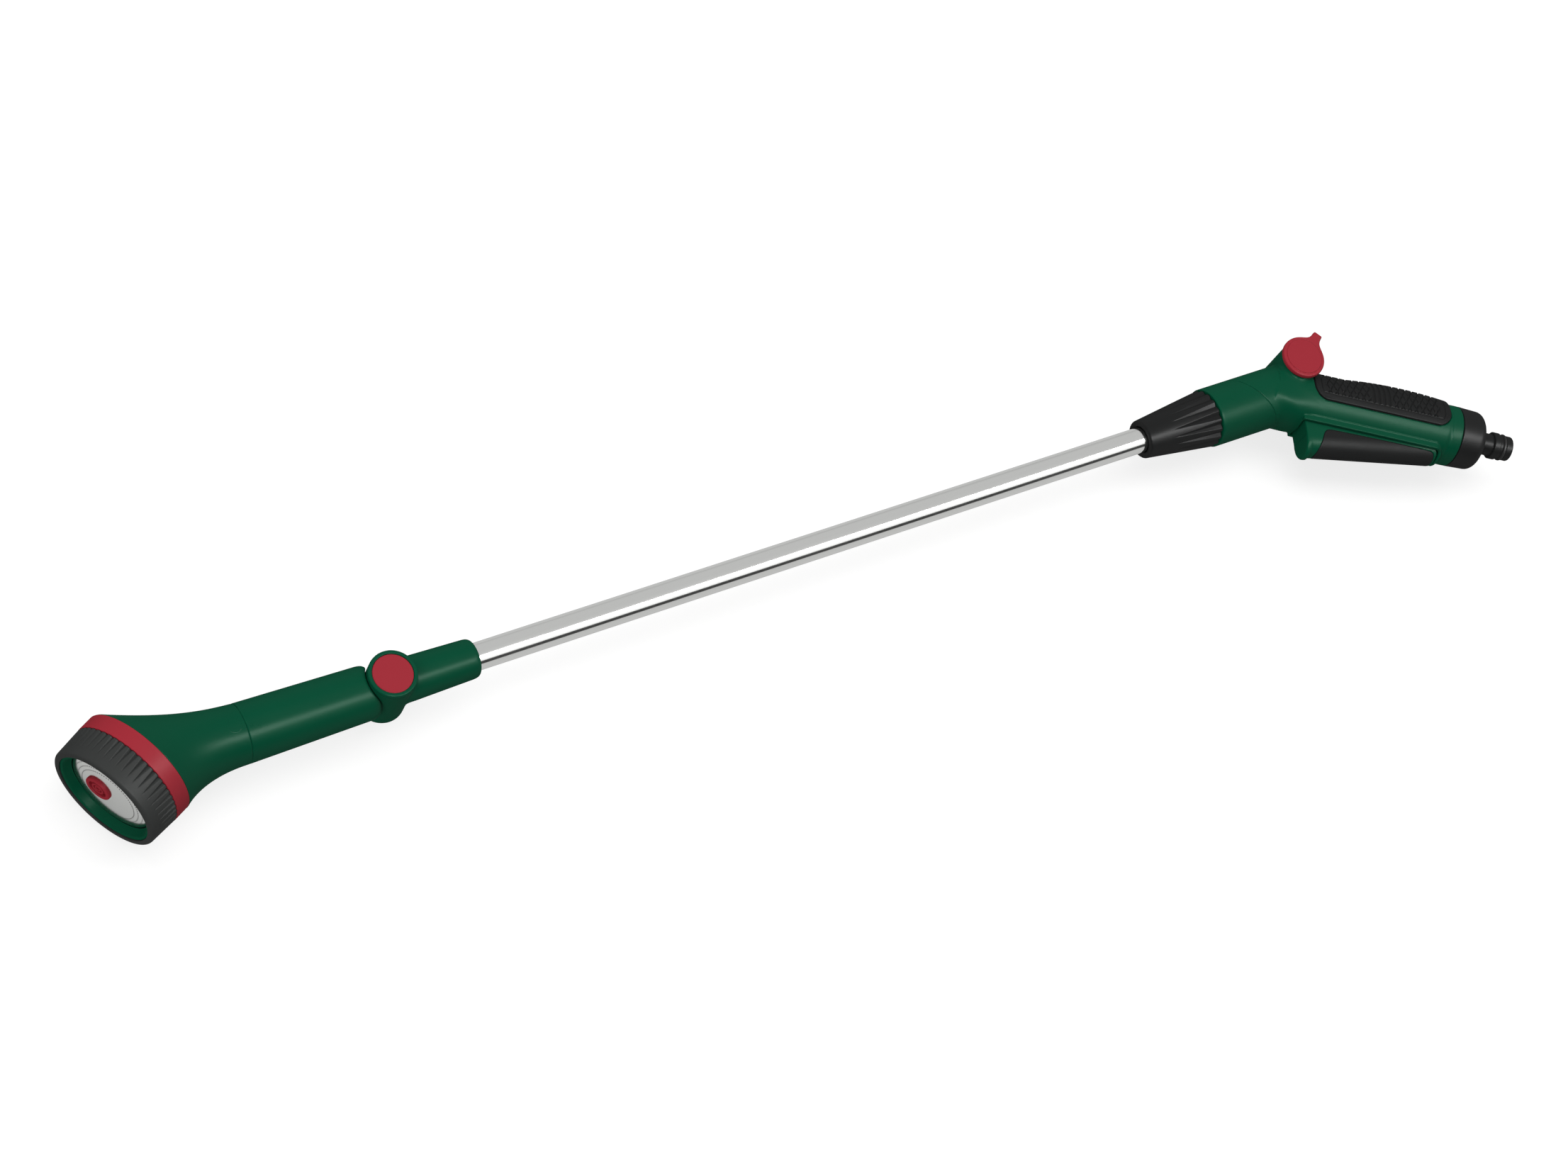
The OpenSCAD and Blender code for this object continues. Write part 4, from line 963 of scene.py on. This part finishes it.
def knobField(p):
    s = knobShape
    x, y, z = p.T
    turn = math.radians(s["tabAngle"])
    u = x * math.cos(turn) + y * math.sin(turn)
    v = -x * math.sin(turn) + y * math.cos(turn)
    around = np.hypot(x, y)
    mid, half = (s["tabReach"] + s["tabStart"]) / 2, (s["tabReach"] - s["tabStart"]) / 2
    tab = cornerField(np.abs(u - mid) - half + s["tabCorner"], np.abs(v) - s["tabHalf"] + s["tabCorner"],
                      s["tabCorner"])
    outline = softMin(around - s["r"], tab, s["rootBlend"])
    r, edge = s["innerR"], s["ledgeEdge"]
    top = s["top"] - s["ledge"] * smoothStep(around, r - edge, r + edge)
    body = softMax(outline, z - top, 2 * s["edge"])
    body = softMax(body, s["low"] - z, s["underEdge"])
    out, down, grooveR = s["groove"]
    groove = np.hypot(around - r - out, z - s["top"] + down) - grooveR
    body = softMax(body, -groove, s["grooveEdge"])
    return np.maximum(body, -rodField(z, around, *s["stem"]))


place("valveKnob", blendedMesh(knobField, knobShape, valveFrame), "valve_knob")
print("knob made")

# trigger
triggerShape = {
    "front": -83.6, "back": 7.29, "w": 10.0, "wall": 1.8, "wallEdge": 0.5, "drop": 11.8, "topFront": 10.6,
    "topBack": 3.9, "topEdge": 0.6, "pin": 1.66, "skin": 0.9, "endRound": 1.2, "rearRound": 4.5,
    "rearTop": -4.0, "lip": (9.6, -83.6, -81.0, 0.8), "lipDrop": 2.0, "lipNarrow": 1.08, "lipBlend": 1.6,
    "box": ((-84, -15, -10.4), (8, 11, 10.4)), "step": 0.55,
}


def channelField(p, w, front, back):
    # half-round channel; its rear end leans with the pocket's wall and is rounded as seen from below
    s = triggerShape
    x, y, z = p.T
    below = np.hypot(np.minimum(y - s["w"] + s["drop"], 0), z) - w
    lean = math.tan(math.radians(layout["triggerSlope"])) * (np.minimum(y, s["rearTop"]) + s["drop"])
    body = softMax(below, np.maximum(front - x, x - lean - back), s["endRound"])
    return np.maximum(body, rearRound(x - lean, z, back, w, s["rearRound"]))


# side outline of the soft insert, from the trigger's front end: edge (x, slope, y) with a flare at its
# foot, top line (x, y, slope) and rear end
insertShape = {
    "edge": (10.1, 0.38, -4.55), "flare": (2.2, -13.0, 1.5), "top": (21.1, 2.7, -0.145), "rear": 89.6,
    "round": 4.6, "rearRound": 3.6, "proud": 0.12, "under": 0.05, "gap": 0.12, "edgeRound": 0.5,
    "box": ((-81, -13, -10.4), (8, 3.5, 10.4)), "step": 0.4,
}


def insertOutline(x, y):
    s = insertShape
    along = x - triggerShape["front"]
    x0, lean, y0 = s["edge"]
    reach, foot, fall = s["flare"]
    edge = x0 + lean * (y - y0) - reach * np.exp(-np.maximum(y - foot, 0) / fall)
    x1, y1, slope = s["top"]
    top = (y - y1 - slope * (along - x1)) / math.hypot(1, slope)
    front = softMax((edge - along) / math.hypot(1, lean), top, s["round"])
    return softMax(front, along - s["rear"], s["rearRound"])


def triggerField(p):
    s = triggerShape
    x, y, z = p.T
    axis = s["w"] - s["drop"]
    outer = channelField(p, s["w"], s["front"], s["back"])
    # lip at the front end
    lip = rodField(x, np.hypot(y - axis + s["lipDrop"], z * s["lipNarrow"]), *s["lip"])
    outer = softMin(outer, np.maximum(lip, y - axis), s["lipBlend"])
    along = (x - s["front"]) / (s["back"] - s["front"])
    outer = softMax(outer, y - (s["topFront"] + (s["topBack"] - s["topFront"]) * along), s["topEdge"])
    inner = channelField(p, s["w"] - s["wall"], s["front"] + s["wall"], s["back"] - s["wall"])
    body = softMax(outer, -inner, s["wallEdge"])
    seat = np.maximum(insertOutline(x, y), -channelField(p, s["w"] - s["skin"], -far, far))
    body = np.maximum(body, -seat)
    return np.maximum(body, s["pin"] - np.hypot(x, y))


def insertField(p):
    s, t = insertShape, triggerShape
    x, y = p.T[:2]
    shell = np.maximum(channelField(p, t["w"] + s["proud"], t["front"], t["back"]),
                       -channelField(p, t["w"] - t["skin"] + s["under"], -far, far))
    return softMax(shell, insertOutline(x, y) + s["gap"], s["edgeRound"])


place("triggerLever", blendedMesh(triggerField, triggerShape, triggerFrame), "trigger")
place("triggerInsert", blendedMesh(insertField, insertShape, triggerFrame), "trigger_insert")

# return spring round the plunger's stem, at the length of the imported spring; the real spring shortens as
# the trigger is squeezed, but this mesh keeps one length
springShape = {
    "x": 57.0, "r": 3.6, "wire": 0.45, "turns": 7, "steps": 40, "sides": 12, "travel": 6.4, "sharp": 50,
}


def springEnds():
    # the wire's middle at both ends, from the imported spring
    toGrip = gripFrame.inverted()
    heights = [(toGrip @ v.co).y for v in frame["nodes"]["return_spring"].data.vertices]
    return max(heights) - springShape["wire"], min(heights) + springShape["wire"]


def springMesh():
    s = springShape
    top, low = springEnds()
    count, sides = s["turns"] * s["steps"], s["sides"]
    verts = []
    for step in range(count + 1):
        turn = 2 * math.pi * step / s["steps"]
        for side in range(sides):
            angle = 2 * math.pi * side / sides
            r = s["r"] + s["wire"] * math.cos(angle)
            y = top - (top - low) * step / count + s["wire"] * math.sin(angle)
            verts.append((s["x"] - r * math.cos(turn), y, r * math.sin(turn)))
    ends = [tuple(range(sides)), tuple(range(count * sides + sides - 1, count * sides - 1, -1))]
    return meshFrom(verts, ends + gridFaces(count + 1, sides), gripFrame, sharp=s["sharp"])


springPiece = place("returnSpring", springMesh(), "return_spring")
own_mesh(springPiece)
print("trigger made")

# hose end
collarShape = {
    "node": "inlet_collar", "sides": 128, "steps": 12,
    "profile": ((111.6, 11.1), (111.6, 15.7), (124.0, 15.7), (124.0, 19.4, 0.5), (141.7, 18.6, 6.5),
        (141.7, 8.15, 0.4), (129.7, 8.15), (129.7, 11.1)),
}
turned("endCollar", collarShape, gripFrame)

nippleShape = {
    "node": "hose_nipple", "sides": 112,
    "profile": ((127.3, 4.8), (127.3, 10.9), (129.6, 10.9), (129.6, 8.0), (141.7, 8.0, 0.3),
        (142.3, 7.1, 0.5), (151.7, 7.1, 0.4), (151.7, 8.15), (152.2, 8.65, 0.2), (155.9, 8.65, 0.2),
        (156.4, 8.15), (156.4, 7.9, 0.3), (158.1, 7.9, 0.25), (158.1, 6.1, 0.2), (160.7, 6.1, 0.2),
        (160.7, 7.9, 0.25), (165.2, 7.9, 1.0), (165.2, 4.8, 0.5)),
}
turned("hoseNipple", nippleShape, gripFrame)

# ring seal, round in section
sealShape = {"node": "nipple_o_ring", "sides": 112, "x": 159.4, "midR": 7.35, "r": 1.2, "bend": 15}
sealTurns = np.radians(range(0, 360, sealShape["bend"]))
sealAlong = sealShape["x"] + sealShape["r"] * np.cos(sealTurns)
sealOut = sealShape["midR"] + sealShape["r"] * np.sin(sealTurns)
turned("nippleSeal", {**sealShape, "profile": list(zip(sealAlong, sealOut))}, gripFrame)
print("hose end made")

# floor, light and camera
stageLook = {
    "floorX": -0.4, "floorZ": -0.0349, "reach": 18.0, "floor": (0.32, 0.32, 0.318, 1), "rough": 0.9,
    "glow": 0.74, "mirrored": 0.38,
}


def seenDirectly(tree, mirrored):
    # 1 to the camera and through clear pieces, less in glossy surfaces
    path = tree.nodes.new("ShaderNodeLightPath").outputs
    seen = mathNode(tree, "MAXIMUM", path["Is Camera Ray"], path["Is Transmission Ray"])
    return mathNode(tree, "MAXIMUM", seen, mathNode(tree, "MULTIPLY", path["Is Glossy Ray"], mirrored))


def makeFloor():
    s = stageLook
    mesh = bpy.data.meshes.new("floorSheet")
    work = bmesh.new()
    bmesh.ops.create_grid(work, x_segments=4, y_segments=4, size=s["reach"])
    work.to_mesh(mesh)
    work.free()
    floor = addObject("floorSheet", mesh)
    floor.location = (s["floorX"], 0, s["floorZ"])
    material, tree, shader = plainMaterial("paleFloor")
    # white to the camera and paler than grey in the metal, with the shadow left on it
    glow = mathNode(tree, "MULTIPLY", seenDirectly(tree, s["mirrored"]), s["glow"])
    fill(tree, shader, {
        "Base Color": s["floor"], "Roughness": s["rough"], "Specular IOR Level": 0.0,
        "Emission Color": glow, "Emission Strength": 1.0})
    mesh.materials.append(material)


makeFloor()

skyLook = {
    "towards": (0.0, 0.5, 0.866), "from": -0.3, "to": 0.75, "dark": 0.02, "bright": 0.62, "mirrored": 0.05,
}


def makeRoom():
    # a plain room, brighter above and behind the object than on the trigger side and white to the camera
    s = skyLook
    world = bpy.data.worlds.new("studioRoom")
    bpy.context.scene.world = world
    world.use_nodes = True
    tree = world.node_tree
    lean = vectorNode(tree, "DOT_PRODUCT", coords(tree, "Generated"), s["towards"], "Value")
    sky = rampNode(tree, lean, s["from"], s["to"], s["dark"], s["bright"])
    strength = mathNode(tree, "MAXIMUM", sky, seenDirectly(tree, s["mirrored"]))
    fill(tree, tree.nodes["Background"], {"Color": (1, 1, 1, 1), "Strength": strength})


makeRoom()

# a bright strip along the tube and a wide dim panel below it, which only show in glossy surfaces, and two
# soft lamps for the object's colours: place, aim, size, watts and whether it is a glossy one
lamps = {
    "keyStrip": ((0.05, -0.95, 1.76), (0.05, 0.05, 0), (2.7, 0.6), 85, True),
    "lowPanel": ((0.2, -1.45, 1.4), (0.2, 0.05, 0), (3.4, 1.2), 12, True),
    "keySoft": ((-0.2, 0.35, 2.0), (-0.35, 0.05, 0), (3.0, 1.0), 27, False),
    "headFill": ((-2.4, -1.0, 0.9), (-0.9, 0.08, 0), (1.2, 1.0), 18, False),
}
for lampName, (at, to, size, watts, glossy) in lamps.items():
    light = bpy.data.lights.new(lampName, "AREA")
    light.shape = "RECTANGLE"
    light.size, light.size_y = size
    light.energy = watts
    lamp = addObject(lampName, light)
    lamp.location = at
    lamp.visible_diffuse, lamp.visible_glossy = not glossy, glossy
    lamp.rotation_euler = (Vector(to) - Vector(at)).to_track_quat("-Z", "Y").to_euler()

cameraLook = {
    "at": (-1.29582, -0.42595, 1.57790), "lens": 72.567, "sensor": 36.0, "clipEnd": 50,
    "right": (0.85561, -0.42184, 0.29997), "down": (-0.28400, -0.86707, -0.40930),
    "ahead": (0.43276, 0.26501, -0.86168),
}
cameraData = bpy.data.cameras.new("photoCamera")
cameraData.sensor_width = cameraLook["sensor"]
cameraData.lens = cameraLook["lens"]
cameraData.clip_end = cameraLook["clipEnd"]
camera = addObject("photoCamera", cameraData)
right, up, back = Vector(cameraLook["right"]), -Vector(cameraLook["down"]), -Vector(cameraLook["ahead"])
rows = zip(right, up, back, cameraLook["at"])
camera.matrix_world = Matrix((*rows, (0, 0, 0, 1)))
bpy.context.scene.camera = camera
bpy.context.scene.view_settings.view_transform = "Standard"
print("stage set")
